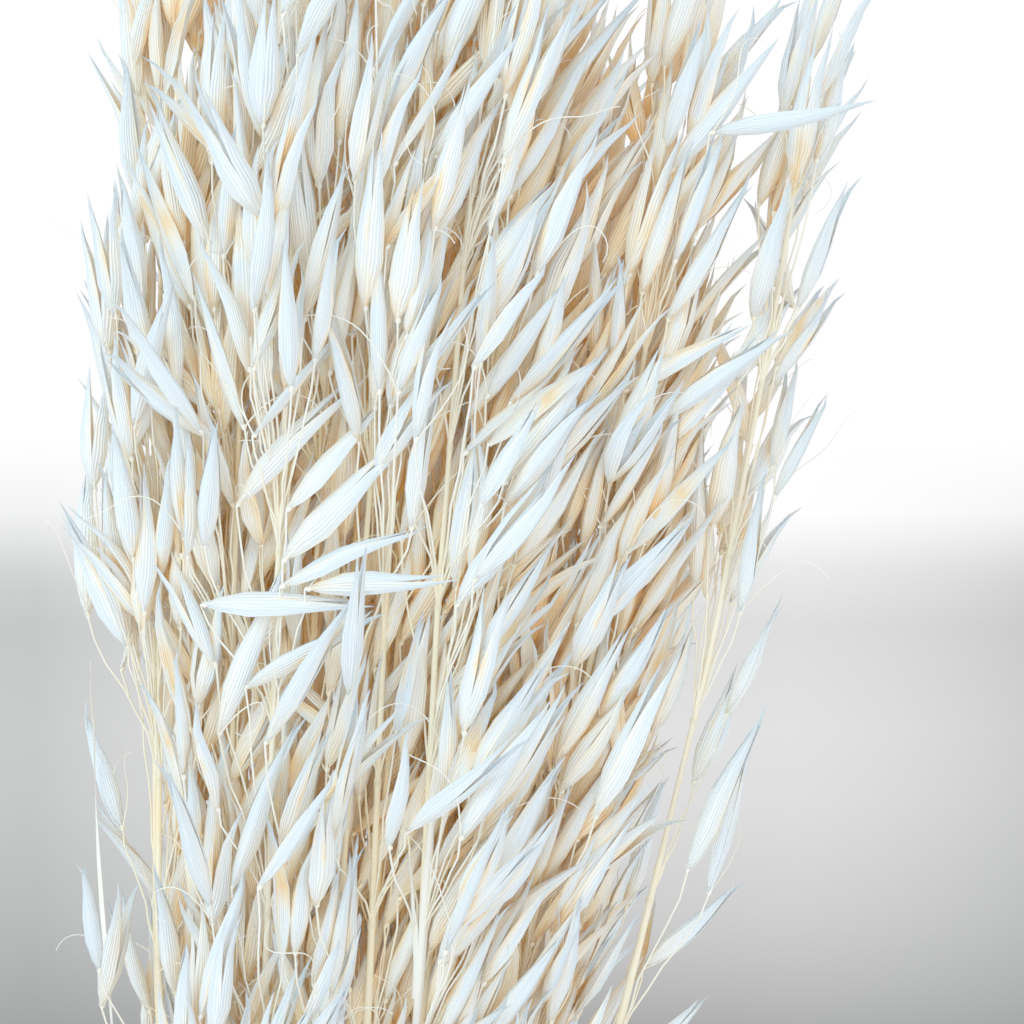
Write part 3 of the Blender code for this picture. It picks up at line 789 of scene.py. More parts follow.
def lay_grain(mesh, length):
    """Lay the UV map along the grain: U goes round the body and V from its base to its tip."""
    grain = mesh.uv_layers.active
    for face in mesh.polygons:
        middle = math.atan2(face.center.z, face.center.x) / math.tau
        for index in face.loop_indices:
            point = mesh.vertices[mesh.loops[index].vertex_index].co
            turn = middle
            if math.hypot(point.x, point.z) > AT_STATION:
                turn = math.atan2(point.z, point.x) / math.tau
                turn += round(middle - turn)
            grain.data[index].uv = (turn, point.y / length)


def drawn_out(sides, outline, length):
    """A closed body along +Y: a small disc drawn out ring by ring, and closed in a point."""
    body = disc(sides, outline[0][1])
    bpy.ops.object.mode_set(mode="EDIT")
    for (start, before), (stop, after) in zip(outline, outline[1:]):
        share = after / before if after else 1
        draw_ring_out((0, (stop - start) * length, 0), share, (0, stop * length, 0))
    bpy.ops.mesh.merge(type="CENTER")
    close_body()
    lay_grain(body.data, length)
    return body


def turn_from(piece, share, degrees, axis):
    """Turn what lies past one share of a husk's length, as a crease or a curl does."""
    start = share * HUSK_LENGTH
    rotate(piece, degrees, axis, start, lambda point: point.y > start - AT_STATION)


def make_husk(width, depth, length, fit, lean, curl):
    """One husk: half of a drop, thin at its edges, that leans out and curls at its tip.

    Its edges reach past the middle, the outer husk's over the inner one's."""
    husk = drawn_out(HUSK_SIDES, HUSK_OUTLINE, HUSK_LENGTH * length)
    resize(husk, (-HUSK_HOLLOW, 1, 1), lambda point: point.x < -AT_MIDDLE)
    resize(husk, (HUSK_HALF_WIDTH * width, 1, HUSK_HALF_DEPTH * depth * fit[1]))
    husk.data.transform(Matrix.Translation((fit[0], 0, 0)))
    turn_from(husk, 0.0, lean, "Z")
    for share, part in HUSK_CURLS:
        turn_from(husk, share, curl * part, "Z")
    turn_from(husk, HUSK_TIP_CURL[0] * length, curl * HUSK_TIP_CURL[1], "X")
    return husk


def make_kind(name, width, depth, leans, curl, twist, floret, finish):
    """One kind of spikelet, modelled along +Y with its husks on either side along X."""
    parts = []
    for lean, (shorter, less), fit in zip(leans, HUSK_SHARES, HUSK_FITS):
        parts.append(make_husk(width, depth, shorter, fit, lean, curl * less))
    if len(parts) > 1:
        rotate(parts[1], 180, "Y")
    if floret:
        parts.append(drawn_out(FLORET_SIDES, FLORET_OUTLINE, HUSK_LENGTH * FLORET_SIZE[1]))
        size = (HUSK_HALF_WIDTH * FLORET_SIZE[0], 1, HUSK_HALF_DEPTH * FLORET_SIZE[2])
        resize(parts[-1], size)
    kind = joined(parts)
    kind.name = f"spikelet_{name}"
    modifier = kind.modifiers.new("twist", "SIMPLE_DEFORM")
    modifier.deform_method = "TWIST"
    modifier.deform_axis = "Y"
    modifier.angle = math.radians(twist)
    bpy.ops.object.modifier_apply(modifier=modifier.name)
    bpy.ops.object.shade_smooth_by_angle(angle=HUSK_SHARP_EDGE)
    kind.data.materials.clear()
    kind.data.materials.append(finish)
    return kind


# Finer stems: where their joints are and how they swell, how slim they get within the head, how deep
# inside they count as being for their painted shade, and the wall, the depth and the roundness of a cut
# end
JOINT_PITCH = (26 * MM, 40 * MM)
JOINT_UNEVEN = 18 * MM
CULM_JOINTS = (-60 * MM, 60 * MM, 165 * MM)
FIRST_JOINT_BELOW = 8 * MM
LAST_JOINT_BELOW = 12 * MM
JOINT_SWELLING = 1.32
JOINT_HALF = 1.3 * MM
HEAD_SLIMMER = 0.35
HEAD_SLIMMED_OVER = 80 * MM
CULM_DEPTH = 0.4
HEAD_DEEPER_OVER = 60 * MM
STEM_ROUNDNESS = 2
CUT_WALL = 0.35 * MM
CUT_HOLLOW = 4 * MM
AT_CUT = 0.3 * MM

# Threads that carry the spikelets, and the knob at a thread's end: places along the spikelet's axis,
# and the radius at each
THREAD_RADIUS = 0.17 * MM
THREAD_TAPER = 0.35
THREAD_LOWEST = 1.4 * THREAD_RADIUS
THREAD_STEPS = 8
THREAD_WAVE = 0.55 * MM
THREAD_FROM_ROOT = 4 * MM
THREAD_OFF_STEM = 1.0 * MM
THREAD_LEAVES_OVER = 0.2
THREAD_EASE = 1.4
KNOB_PROFILE = ((-0.5 * MM, 0.221 * MM), (0.0, 0.55 * MM), (0.7 * MM, 0.4125 * MM))

# Looks out from each corner point of a husk, to see how covered it is, for the painted shade in its
# colour
LOOKS = 4
LOOK_START = 0.4 * MM
LOOK_REACH = 30 * MM
LOOK_FADE = 8 * MM


def put_values(mesh, name, values):
    """Keep one number a corner point on a mesh, for its finish to read."""
    kept = mesh.attributes.new(name, "FLOAT", "POINT")
    kept.data.foreach_set("value", values)


def make_threads(name, lines, sides_level, finish):
    """Thin round stalks, one along each line of points and radii, as one closed-ended mesh."""
    curve = bpy.data.curves.new(name, "CURVE")
    curve.dimensions = "3D"
    curve.bevel_depth = 1.0
    curve.bevel_resolution = sides_level
    curve.use_fill_caps = True
    curve.materials.append(finish)
    for points, radii in lines:
        spline = curve.splines.new("POLY")
        spline.points.add(len(points) - 1)
        for place, point, radius in zip(spline.points, points, radii):
            place.co = (*point, 1)
            place.radius = radius
    threads = bpy.data.objects.new(name, curve)
    bpy.context.scene.collection.objects.link(threads)
    select_only(threads)
    bpy.ops.object.convert(target="MESH")
    return bpy.context.object


def stem_joints(stalk, draw):
    """Where the joints of one stem are, from its cut end to its tip."""
    joints = [along + draw.uniform(-JOINT_UNEVEN, JOINT_UNEVEN) for along in CULM_JOINTS]
    along = stalk.head - FIRST_JOINT_BELOW
    while along < stalk.tip - LAST_JOINT_BELOW:
        joints.append(along)
        along += draw.uniform(*JOINT_PITCH)
    return joints


def make_stem(stalk, joints, finish):
    """One stem: round, swollen at its joints, and hollow at its cut end."""
    alongs = {stalk.cut, stalk.tip}
    for joint in joints:
        alongs.update((joint - JOINT_HALF, joint, joint + JOINT_HALF))
    for start, stop in zip([stalk.cut] + joints, joints + [stalk.tip]):
        alongs.update((start + (stop - start) / 3, start + (stop - start) * 2 / 3))
    points = []
    radii = []
    for along in sorted(alongs):
        swollen = max(1 - abs(along - joint) / JOINT_HALF for joint in joints)
        slim = 1 - HEAD_SLIMMER * smooth((along - stalk.head) / HEAD_SLIMMED_OVER)
        radius = stalk.radius(along) * slim * (1 + (JOINT_SWELLING - 1) * max(swollen, 0))
        point = stalk.at(along)
        point.z = max(point.z, radius)
        points.append(point)
        radii.append(radius)
    stem = make_threads(f"stem_{stalk.number:02d}", [(points, radii)], STEM_ROUNDNESS, finish)
    cut_end = min(vertex.co.y for vertex in stem.data.vertices) + AT_CUT
    pick(stem, lambda point: point.y < cut_end)
    bpy.ops.mesh.inset(thickness=CUT_WALL)
    bpy.ops.mesh.extrude_region_move(TRANSFORM_OT_translate={"value": (0, CUT_HOLLOW, 0)})
    bpy.ops.object.mode_set(mode="OBJECT")
    bpy.ops.object.shade_smooth_by_angle(angle=HUSK_SHARP_EDGE)
    mesh = stem.data
    # Depth inside the bundle, less below the head, kept for the stem's painted shade
    depths = []
    rings = []
    for vertex in mesh.vertices:
        within_head = smooth((vertex.co.y - stalk.head + HEAD_DEEPER_OVER) / HEAD_DEEPER_OVER)
        depths.append(depth_inside(vertex.co) * (CULM_DEPTH + (1 - CULM_DEPTH) * within_head))
        nearest = min(abs(vertex.co.y - joint) for joint in joints)
        rings.append(max(0.0, 1 - nearest / (2 * JOINT_HALF)))
    put_values(mesh, "inside", depths)
    put_values(mesh, "mark", rings)
    return stem


def thread_line(stalk, spikelet, joints, draw):
    """The thread that carries one spikelet: from a joint along the stem, then out to its base."""
    base = spikelet.base
    below = [joint for joint in joints if joint < spikelet.root.y + THREAD_FROM_ROOT]
    start = stalk.at(below[-1] if below else spikelet.root.y)
    out = base - stalk.at(base.y)
    beside = Vector((out.x, 0, out.z)).normalized() * THREAD_OFF_STEM
    waves = [(draw.uniform(-1, 1), draw.uniform(-1, 1)) for step in range(THREAD_STEPS)]
    points = []
    radii = []
    for step in range(THREAD_STEPS):
        share = step / (THREAD_STEPS - 1)
        along = start.y + (base.y - start.y) * share
        eased = smooth(share) ** THREAD_EASE
        leaving = min(share / THREAD_LEAVES_OVER, 1)
        point = stalk.at(min(along, stalk.tip)) + beside * (1 - eased) * leaving
        point += (base - stalk.at(min(base.y, stalk.tip))) * eased
        point.y = along
        wave = Vector((waves[step][0], 0, waves[step][1])) * THREAD_WAVE
        point += wave * math.sin(math.pi * share)
        point.z = max(point.z, THREAD_LOWEST)
        points.append(point)
        radii.append(THREAD_RADIUS * (1 + THREAD_TAPER * (1 - share)))
    points[-1:] = [base + spikelet.axis * along for along, radius in KNOB_PROFILE]
    radii[-1:] = [radius for along, radius in KNOB_PROFILE]
    return points, radii


def all_bodies(stalks):
    """The plain bodies of all spikelets as one surface, for looking out past them."""
    points = []
    faces = []
    for stalk in stalks:
        for spikelet in stalk.spikelets:
            start = len(points)
            points += spikelet.shell()
            faces += [[start + corner for corner in face] for face in BODY_FACES]
    return BVHTree.FromPolygons(points, faces)


def covered(vertex, number, bodies):
    """How much the spikelets round one corner point cover it, for the husk's painted shade: 0 in the
    open, 1 under others.
    """
    total = 0.0
    beside = vertex.normal.orthogonal().normalized()
    start = vertex.co + vertex.normal * LOOK_START
    for turn in range(LOOKS):
        around = Matrix.Rotation(math.tau * turn / LOOKS, 3, vertex.normal)
        heading = (vertex.normal + around @ beside).normalized()
        hit, normal, face, distance = bodies.ray_cast(start, heading, LOOK_REACH)
        if hit and face // len(BODY_FACES) == number:
            onward = hit + heading * LOOK_START
            hit, normal, face, distance = bodies.ray_cast(onward, heading, LOOK_REACH)
        if hit:
            total += 1 / (1 + distance / LOOK_FADE)
    return total / LOOKS


def make_spikelet(spikelet, number, kind, bodies, draw):
    """A copy of one kind of spikelet, laid at its place."""
    mesh = kind.data.copy()
    size = spikelet.length * LENGTH_SHARE / HUSK_LENGTH
    width = draw.uniform(*OWN_WIDTH)
    places = numpy.empty(len(mesh.vertices) * 3)
    mesh.vertices.foreach_get("co", places)
    places = places.reshape(-1, 3)
    share = places[:, 1] / HUSK_LENGTH
    for axis in (0, 2):
        wave = numpy.sin(share * OWN_WAVES * math.tau + draw.uniform(0, math.tau)) * share
        places[:, axis] += draw.gauss(0, OWN_BEND) * share ** 2 + draw.gauss(0, OWN_WAVE) * wave
    depth = spikelet.side.cross(spikelet.axis)
    lay = numpy.array((spikelet.side * width, spikelet.axis * size, depth * width))
    places = places @ lay + numpy.array(spikelet.base)
    places[:, 2] += max(0.0, -places[:, 2].min())
    mesh.vertices.foreach_set("co", places.ravel())
    # Depth inside the bundle, kept for the husk's painted shade
    inside = depth_inside(spikelet.middle()) + draw.gauss(0, OWN_DEPTH_INSIDE)
    count = len(mesh.vertices)
    put_values(mesh, "inside", [min(max(inside, 0.0), 1.0)] * count)
    put_values(mesh, "mark", [draw.random()] * count)
    # How covered each corner point is, which darkens and warms the husk's colour as painted shade
    put_values(mesh, "covered", [covered(vertex, number, bodies) for vertex in mesh.vertices])
    made = bpy.data.objects.new("spikelet", mesh)
    bpy.context.scene.collection.objects.link(made)
    return made


# Strips: the leaf blade and the torn sheaths
RIBBON_SIDES = 8
RIBBON_HALF_THICKNESS = 0.16 * MM
RIBBON_DEPTH = 0.5
RIBBON_MARK = 0.3


def make_ribbon(name, points, half_widths, rolls, cupped, finish):
    """A thin closed strip drawn out ring by ring along a line, cupped across and rolled as it goes."""
    ribbon = disc(RIBBON_SIDES, 1)
    ribbon.name = name
    for vertex in ribbon.data.vertices:
        side = vertex.co.x
        flat = vertex.co.z * RIBBON_HALF_THICKNESS + cupped * half_widths[0] * side * side
        vertex.co = points[0] + Vector((side * half_widths[0], 0, flat))
    pick(ribbon)
    rolled = 0
    for index, point in enumerate(points):
        if index > 0:
            share = half_widths[index] / half_widths[index - 1]
            draw_ring_out(point - points[index - 1], share, point)
        turn = math.radians(rolls[index] - rolled)
        bpy.ops.transform.rotate(value=turn, orient_axis="Y", center_override=point)
        rolled = rolls[index]
    close_body()
    bpy.ops.object.shade_smooth_by_angle(angle=HUSK_SHARP_EDGE)
    mesh = ribbon.data
    mesh.materials.append(finish)
    # Depth inside the bundle, kept for the strip's painted shade
    put_values(mesh, "inside", [depth_inside(vertex.co) * RIBBON_DEPTH for vertex in mesh.vertices])
    put_values(mesh, "mark", [RIBBON_MARK] * len(mesh.vertices))
    return ribbon


# The fine leaf blade: how far it stands off the frame's, and how it waves, twists and narrows
LEAF_FINE_HALF_WIDTH = 1.05 * MM
LEAF_FREE_OVER = 90 * MM
LEAF_AWAY = Vector((-2 * MM, 0, 7 * MM))
LEAF_STEPS = (0.0, 0.34, 0.67)
LEAF_ROLL = 35
LEAF_ROLL_STEP = 0.9
LEAF_TWIST = 90
LEAF_NARROWER = 0.75
LEAF_UNEVEN = 0.5 * MM
LEAF_CUPPED = 0.3


def make_leaf(stalk, finish, draw):
    """The dried leaf blade beside a stalk, wavy and turned, on the line of the frame's blade."""
    line = []
    for across, along, up in LEAF_FROM_STEM:
        free = smooth((along - LEAF_FROM_STEM[0][1]) / LEAF_FREE_OVER)
        line.append(stalk.at(along) + Vector((across, 0, up)) + LEAF_AWAY * free)
    points = []
    for before, after in zip(line, line[1:]):
        points += [before.lerp(after, share) for share in LEAF_STEPS]
    points.append(line[-1])
    shares = [index / len(points) for index in range(len(points))]
    waves = [math.sin(index * LEAF_ROLL_STEP) for index in range(len(points))]
    rolls = [LEAF_ROLL * wave + LEAF_TWIST * share for wave, share in zip(waves, shares)]
    widths = [LEAF_FINE_HALF_WIDTH * (1 - LEAF_NARROWER * share) for share in shares]
    for index in range(1, len(points)):
        across = draw.uniform(-LEAF_UNEVEN, LEAF_UNEVEN)
        up = draw.uniform(-LEAF_UNEVEN, LEAF_UNEVEN)
        points[index] = points[index] + Vector((across, 0, up))
    return make_ribbon("leaf_blade", points, widths, rolls, LEAF_CUPPED, finish)


# Strips of torn leaf sheath: stalk, where it starts and ends along it, half width and turn round it
SHEATHS = (
    (4, 262 * MM, 322 * MM, 0.8 * MM, 20),
    (4, 275 * MM, 305 * MM, 0.9 * MM, -70),
    (11, 236 * MM, 268 * MM, 1.3 * MM, 10),
    (3, 232 * MM, 262 * MM, 1.3 * MM, 40),
    (22, 120 * MM, 190 * MM, 1.9 * MM, 60),
    (8, 60 * MM, 118 * MM, 1.8 * MM, -20),
    (35, 40 * MM, 96 * MM, 1.8 * MM, 160),
)
SHEATH_STEPS = 9
SHEATH_OFF_STEM = 0.9
SHEATH_PEELS = 2.6 * MM
SHEATH_UNEVEN = 0.3 * MM
SHEATH_WIDTHS = (0.75, 0.5, 0.62)
SHEATH_ROLL_UNEVEN = 12
SHEATH_ROLL = 30
SHEATH_CUPPED = -0.55


def make_sheath(stalk, start, stop, half_width, turn, finish, draw):
    """A strip of dried sheath that clasps its stem at its foot and peels off it."""
    points = []
    widths = []
    rolls = []
    foot, swell, taper = SHEATH_WIDTHS
    out = Vector((math.sin(math.radians(turn)), 0, math.cos(math.radians(turn))))
    for step in range(SHEATH_STEPS):
        share = step / (SHEATH_STEPS - 1)
        along = start + (stop - start) * share
        lift = stalk.radius(along) * SHEATH_OFF_STEM + SHEATH_PEELS * share ** 2
        lift += draw.uniform(0, SHEATH_UNEVEN)
        points.append(stalk.at(along) + out * lift)
        widths.append(half_width * (foot + swell * math.sin(math.pi * share) - taper * share ** 3))
        uneven = draw.uniform(-SHEATH_ROLL_UNEVEN, SHEATH_ROLL_UNEVEN)
        rolls.append(-turn + uneven + SHEATH_ROLL * share)
    return make_ribbon("sheath", points, widths, rolls, SHEATH_CUPPED, finish)


# Fine loose threads that curl out of the heads: where they start, how far aside they head, how much
# they bend a step in degrees, and how their bend turns and they thin along them
CURLS_PER_STALK = 14
CURLS_WITHIN = 0.4
CURL_STEPS = 16
CURL_STEP = 1.6 * MM
CURL_RADIUS = 0.15 * MM
CURL_ASIDE = 0.7
CURL_BENDS = (6, 26)
CURL_TIGHTER = 1.6
CURL_WANDER = 0.25
CURL_THINNER = 0.6


def any_way(draw, spread=1):
    """A random vector of no one direction."""
    return Vector([draw.gauss(0, spread) for part in range(3)])


def curl_line(stalk, draw):
    """A loose curly thread that starts where a spikelet near the bundle's skin does."""
    bases = [spikelet.base for spikelet in stalk.spikelets]
    outer = [base for base in bases if depth_inside(base) < CURLS_WITHIN]
    points = [draw.choice(outer or bases)]
    turn = draw.uniform(0, math.tau)
    aside = Vector((math.cos(turn), 0, math.sin(turn))) * CURL_ASIDE
    heading = (Vector((0, 1, 0)) + aside).normalized()
    axis = any_way(draw).normalized()
    bend = math.radians(draw.uniform(*CURL_BENDS))
    for step in range(CURL_STEPS):
        heading = Matrix.Rotation(bend * step / CURL_STEPS * CURL_TIGHTER, 3, axis) @ heading
        axis = (axis + any_way(draw, CURL_WANDER)).normalized()
        point = points[-1] + heading * CURL_STEP
        point.z = max(point.z, 2 * CURL_RADIUS)
        points.append(point)
    shares = [step / CURL_STEPS for step in range(CURL_STEPS + 1)]
    return points, [CURL_RADIUS * (1 - CURL_THINNER * share) for share in shares]


def make_stalk(stalk, first, kinds, finishes, bodies, draw):
    """One stalk: its stem, the threads and the spikelets that they carry, and its strips."""
    joints = stem_joints(stalk, draw)
    stem = make_stem(stalk, joints, finishes["stem"])
    lines = [thread_line(stalk, spikelet, joints, draw) for spikelet in stalk.spikelets]
    lines += [curl_line(stalk, draw) for curl in range(CURLS_PER_STALK)]
    threads = make_threads("threads", lines, 0, finishes["thread"])
    mesh = threads.data
    # Depth inside the bundle, kept for the threads' painted shade
    put_values(mesh, "inside", [depth_inside(vertex.co) for vertex in mesh.vertices])
    put_values(mesh, "mark", [0.0] * len(mesh.vertices))
    spikelets = []
    for number, spikelet in enumerate(stalk.spikelets, first):
        if spikelet.shown:
            kind = draw.choice(kinds[:SHOWN_KINDS])
        else:
            kind = draw.choices(kinds, KIND_WEIGHTS)[0]
        spikelets.append(make_spikelet(spikelet, number, kind, bodies, draw))
    torn = [sheath for sheath in SHEATHS if sheath[0] == stalk.number]
    strips = [make_sheath(stalk, *sheath[1:], finishes["papery"], draw) for sheath in torn]
    if stalk.number == LEAF_STALK:
        strips.append(make_leaf(stalk, finishes["papery"], draw))
    made = joined([stem, threads, *strips, *spikelets])
    made.name = f"oats_{stalk.number:02d}"
    return made


# Twine: its twisted strands, its turns, how its ends fray, the knot as a trefoil loop, and its fuzz
TWINE_RADIUS = 0.93 * MM
STRAND_RADIUS = 0.47 * MM
STRAND_OFFSET = 0.46 * MM
STRAND_COUNT = 3
TWIST_PITCH = 5.2 * MM
STRAND_STEP = 0.75 * MM
TURN_COUNT = 3
TURN_EDGE = 1.95 * MM
TURN_POINTS = 48
FRAY_PARTS = 2.2
FRAY_OVER = 5 * MM
FRAY_THINNER = 0.35
KNOT_LOOP = 0.95 * MM
KNOT_POINTS = 60
KNOT_SHORTER = 0.8
KNOT_RISE = (-1.25, 0.5)
HAIR_COUNT = 90
HAIR_RADIUS = 0.035 * MM
HAIR_BENDS_AT = 1.1 * MM
HAIR_END = (1.9 * MM, 0.8 * MM)


def evenly(line, step):
    """The same line, with its points one step apart."""
    points = [line[0]]
    left = step
    for before, after in zip(line, line[1:]):
        length = (after - before).length
        while left < length:
            points.append(before.lerp(after, left / length))
            left += step
        left -= length
    return points


def strand_lines(line, frayed):
    """The twisted strands of a length of twine, parted at its end where that is frayed."""
    points = evenly(line, STRAND_STEP)
    side = Vector((0, 1, 0))
    lines = [([], []) for strand in range(STRAND_COUNT)]
    for index, point in enumerate(points):
        ahead = points[min(index + 1, len(points) - 1)] - points[max(index - 1, 0)]
        ahead.normalize()
        side = (side - ahead * side.dot(ahead)).normalized()
        up = ahead.cross(side)
        to_end = (len(points) - 1 - index) * STRAND_STEP
        parted = 1 + FRAY_PARTS * max(0.0, 1 - to_end / FRAY_OVER) * frayed
        for strand, (places, radii) in enumerate(lines):
            turn = math.tau * (index * STRAND_STEP / TWIST_PITCH / parted + strand / STRAND_COUNT)
            out = side * math.cos(turn) + up * math.sin(turn)
            places.append(point + out * STRAND_OFFSET * parted)
            radii.append(STRAND_RADIUS / (1 + FRAY_THINNER * (parted - 1)))
    return lines


def knot_loop(top):
    """The line of the overhand knot: a trefoil round the top of the tie."""
    loop = []
    for step in range(KNOT_POINTS + 1):
        turn = math.tau * step / KNOT_POINTS
        across = math.sin(turn) + 2 * math.sin(2 * turn)
        along = (math.cos(turn) - 2 * math.cos(2 * turn)) * KNOT_SHORTER
        up = math.sin(3 * turn) * KNOT_RISE[0] + KNOT_RISE[1]
        loop.append(top + Vector((across, along, up)) * KNOT_LOOP)
    return loop


def make_twine(stalks, finish, draw):
    """The tie: three turns of twisted twine, an overhand knot on top, two frayed tails and fuzz."""
    turns = []
    for step in range(TURN_POINTS * TURN_COUNT + 1):
        share = step / (TURN_POINTS * TURN_COUNT)
        turn = math.pi / 2 + math.tau * TURN_COUNT * share
        normal = Vector((math.cos(turn), 0, math.sin(turn)))
        along = TURN_EDGE * (2 * share - 1)
        turns.append(hold_point(stalks, normal) + normal * TWINE_RADIUS + Vector((0, along, 0)))
    top = hold_point(stalks, Vector((0, 0, 1))) + Vector((0, 0, KNOT_HEIGHT))
    lines = strand_lines(turns, 0) + strand_lines(knot_loop(top), 0)
    for tail in TAILS:
        lines += strand_lines([top + Vector(point) * MM for point in tail], 1)
    for hair in range(HAIR_COUNT):
        points, radii = draw.choice(lines)
        start = draw.choice(points)
        heading = any_way(draw).normalized()
        later = any_way(draw).normalized()
        end = start + heading * HAIR_END[0] + later * HAIR_END[1]
        bent = [start, start + heading * HAIR_BENDS_AT, end]
        lines.append((bent, [HAIR_RADIUS] * 3))
    twine = make_threads("twine_tie", lines, 1, finish)
    select_only(twine)
    bpy.ops.object.shade_smooth()
    return twine


class Number:
    """A number in a finish. Python's arithmetic on it adds the finish's Math nodes."""

    def __init__(self, finish, socket):
        self.finish = finish
        self.socket = socket

    def maths(self, operation, *numbers):
        """A Math node of one kind on these numbers."""
        made = self.finish.add("ShaderNodeMath", {"operation": operation}, dict(enumerate(numbers)))
        return Number(self.finish, made.outputs[0])

    def __add__(self, other):
        return self.maths("ADD", self, other)

    def __sub__(self, other):
        return self.maths("SUBTRACT", self, other)

    def __rsub__(self, other):
        return self.maths("SUBTRACT", other, self)

    def __mul__(self, other):
        return self.maths("MULTIPLY", self, other)

    def __pow__(self, other):
        return self.maths("POWER", self, other)

    def sine(self):
        """The sine of the number, as an angle in radians."""
        return self.maths("SINE", self)

    def size(self):
        """The number without its sign."""
        return self.maths("ABSOLUTE", self)

    def held(self):
        """The number kept between 0 and 1."""
        return self.maths("MINIMUM", self.maths("MAXIMUM", self, 0.0), 1.0)


class Finish:
    """The nodes of one material, round its Principled shader."""

    def __init__(self, name, roughness):
        self.material = bpy.data.materials.new(name)
        self.material.use_nodes = True
        self.tree = self.material.node_tree
        self.shader = self.tree.nodes["Principled BSDF"]
        self.shader.distribution = "GGX"
        self.put(self.shader.inputs["Metallic"], 0.0)
        self.put(self.shader.inputs["Roughness"], roughness)

    def put(self, socket, value):
        """Link a socket, or set it where the value is constant."""
        if isinstance(value, Number):
            value = value.socket
        if isinstance(value, bpy.types.NodeSocket):
            self.tree.links.new(value, socket)
        else:
            socket.default_value = value

    def add(self, kind, settings=None, values=None):
        """Add a node of a kind: its settings first, then its sockets' values or links."""
        made = self.tree.nodes.new(kind)
        for key, value in (settings or {}).items():
            if key == "stops":
                stops = made.color_ramp.elements
                stops[0].position, stops[0].color = value[0][0], (*value[0][1], 1)
                stops[1].position, stops[1].color = value[-1][0], (*value[-1][1], 1)
                for place, colour in value[1:-1]:
                    stops.new(place).color = (*colour, 1)
            else:
                setattr(made, key, value)
        for key, value in (values or {}).items():
            self.put(made.inputs[key], value)
        return made

    def colour(self, colour):
        """Give the shader its colour."""
        self.put(self.shader.inputs["Base Color"], colour)

    def attribute(self, name):
        """A number kept on the piece."""
        return Number(self, self.add("ShaderNodeAttribute", {"attribute_name": name}).outputs["Fac"])

    def parts(self, vector):
        """The first two numbers of a vector."""
        split = self.add("ShaderNodeSeparateXYZ", {}, {"Vector": vector})
        return Number(self, split.outputs["X"]), Number(self, split.outputs["Y"])

    def moved(self, vector, scale, place=(0, 0, 0)):
        """A vector, stretched by a scale for each axis and moved to a place."""
        values = {"Vector": vector, "Scale": scale, "Location": place}
        return self.add("ShaderNodeMapping", {}, values).outputs[0]

    def place(self, scale):
        """The place on the object, stretched by a scale for each axis."""
        return self.moved(self.add("ShaderNodeTexCoord").outputs["Object"], scale)

    def noise(self, vector, scale, detail):
        """Soft random patches, from 0 to 1."""
        values = {"Vector": vector, "Scale": scale, "Detail": detail}
        return Number(self, self.add("ShaderNodeTexNoise", {}, values).outputs["Fac"])

    def ramp(self, number, stops):
        """A colour for each value of a number."""
        return self.add("ShaderNodeValToRGB", {"stops": stops}, {"Fac": number}).outputs["Color"]

    def mixed(self, blend, colour, other, factor):
        """Two colours mixed."""
        settings = {"data_type": "RGBA", "blend_type": blend}
        return self.add("ShaderNodeMix", settings, {0: factor, 6: colour, 7: other}).outputs[2]

    def bump(self, height, strength, distance):
        """Relief from a height."""
        values = {"Height": height, "Strength": strength, "Distance": distance}
        self.put(self.shader.inputs["Normal"], self.add("ShaderNodeBump", {}, values).outputs[0])


# Husks: how many ribs and the painted shade in their grooves, how much each thing warms their colour
# (cover and depth inside the bundle as painted shade, the rest as their own tone), and their colours from
# cool to warm, the darker and warmer ones being painted shade
RIBS = 24
RIB_SHARPNESS = 3.5
RIB_SHADE_COLOUR = (0.57, 0.63, 0.75, 1)
WARMED_BY = {"covered": 0.78, "inside": 0.5, "mark": 0.14}
WARMED_BY_CLOUDS = 0.2
WARMED_BY_STREAKS = 0.14
WARMED_AT_BASE = 0.32
COOLED_ALL = 0.25
HUSK_STOPS = (
    (0.0, (0.70, 0.85, 0.95)),
    (0.14, (0.83, 0.90, 0.90)),
    (0.34, (0.96, 0.88, 0.69)),
    (0.6, (0.99, 0.66, 0.28)),
    (1.0, (0.99, 0.34, 0.04)),
)


def husk_finish():
    """Bleached papery husk: fine lengthwise ribs with painted shade in their grooves, cool white outside,
    and straw brown inside and under other spikelets, where the brown is painted shade.
    """
    finish = Finish("husk", roughness=0.6)
    grain = finish.add("ShaderNodeUVMap", {"uv_map": "UVMap"}).outputs["UV"]
    around, along = finish.parts(grain)
    wave = (around * (RIBS * math.tau)).sine() * 0.5 + 0.5
    mark = finish.attribute("mark")
    streaks = finish.noise(finish.moved(grain, scale=(46, 5, 1), place=mark), scale=1, detail=1)
    clouds = finish.noise(finish.place((1, 1, 1)), scale=60, detail=1)
    tone_and_shade = (1 - along) ** 1.5 * WARMED_AT_BASE - COOLED_ALL
    for name, share in WARMED_BY.items():
        tone_and_shade = tone_and_shade + finish.attribute(name) * share
    tone_and_shade = tone_and_shade + (clouds - 0.5) * WARMED_BY_CLOUDS + (streaks - 0.5) * WARMED_BY_STREAKS
    colour = finish.ramp(tone_and_shade.held(), HUSK_STOPS)
    # The grooves between the ribs are darkened blue-grey: painted shade
    groove_shade = ((1 - wave) ** RIB_SHARPNESS * (streaks * 2.2 - 0.2)).held() * (1 - along ** 2.5)
    finish.colour(finish.mixed("MULTIPLY", colour, RIB_SHADE_COLOUR, groove_shade))
    finish.bump(wave, strength=0.8, distance=0.2 * MM)
    return finish.material


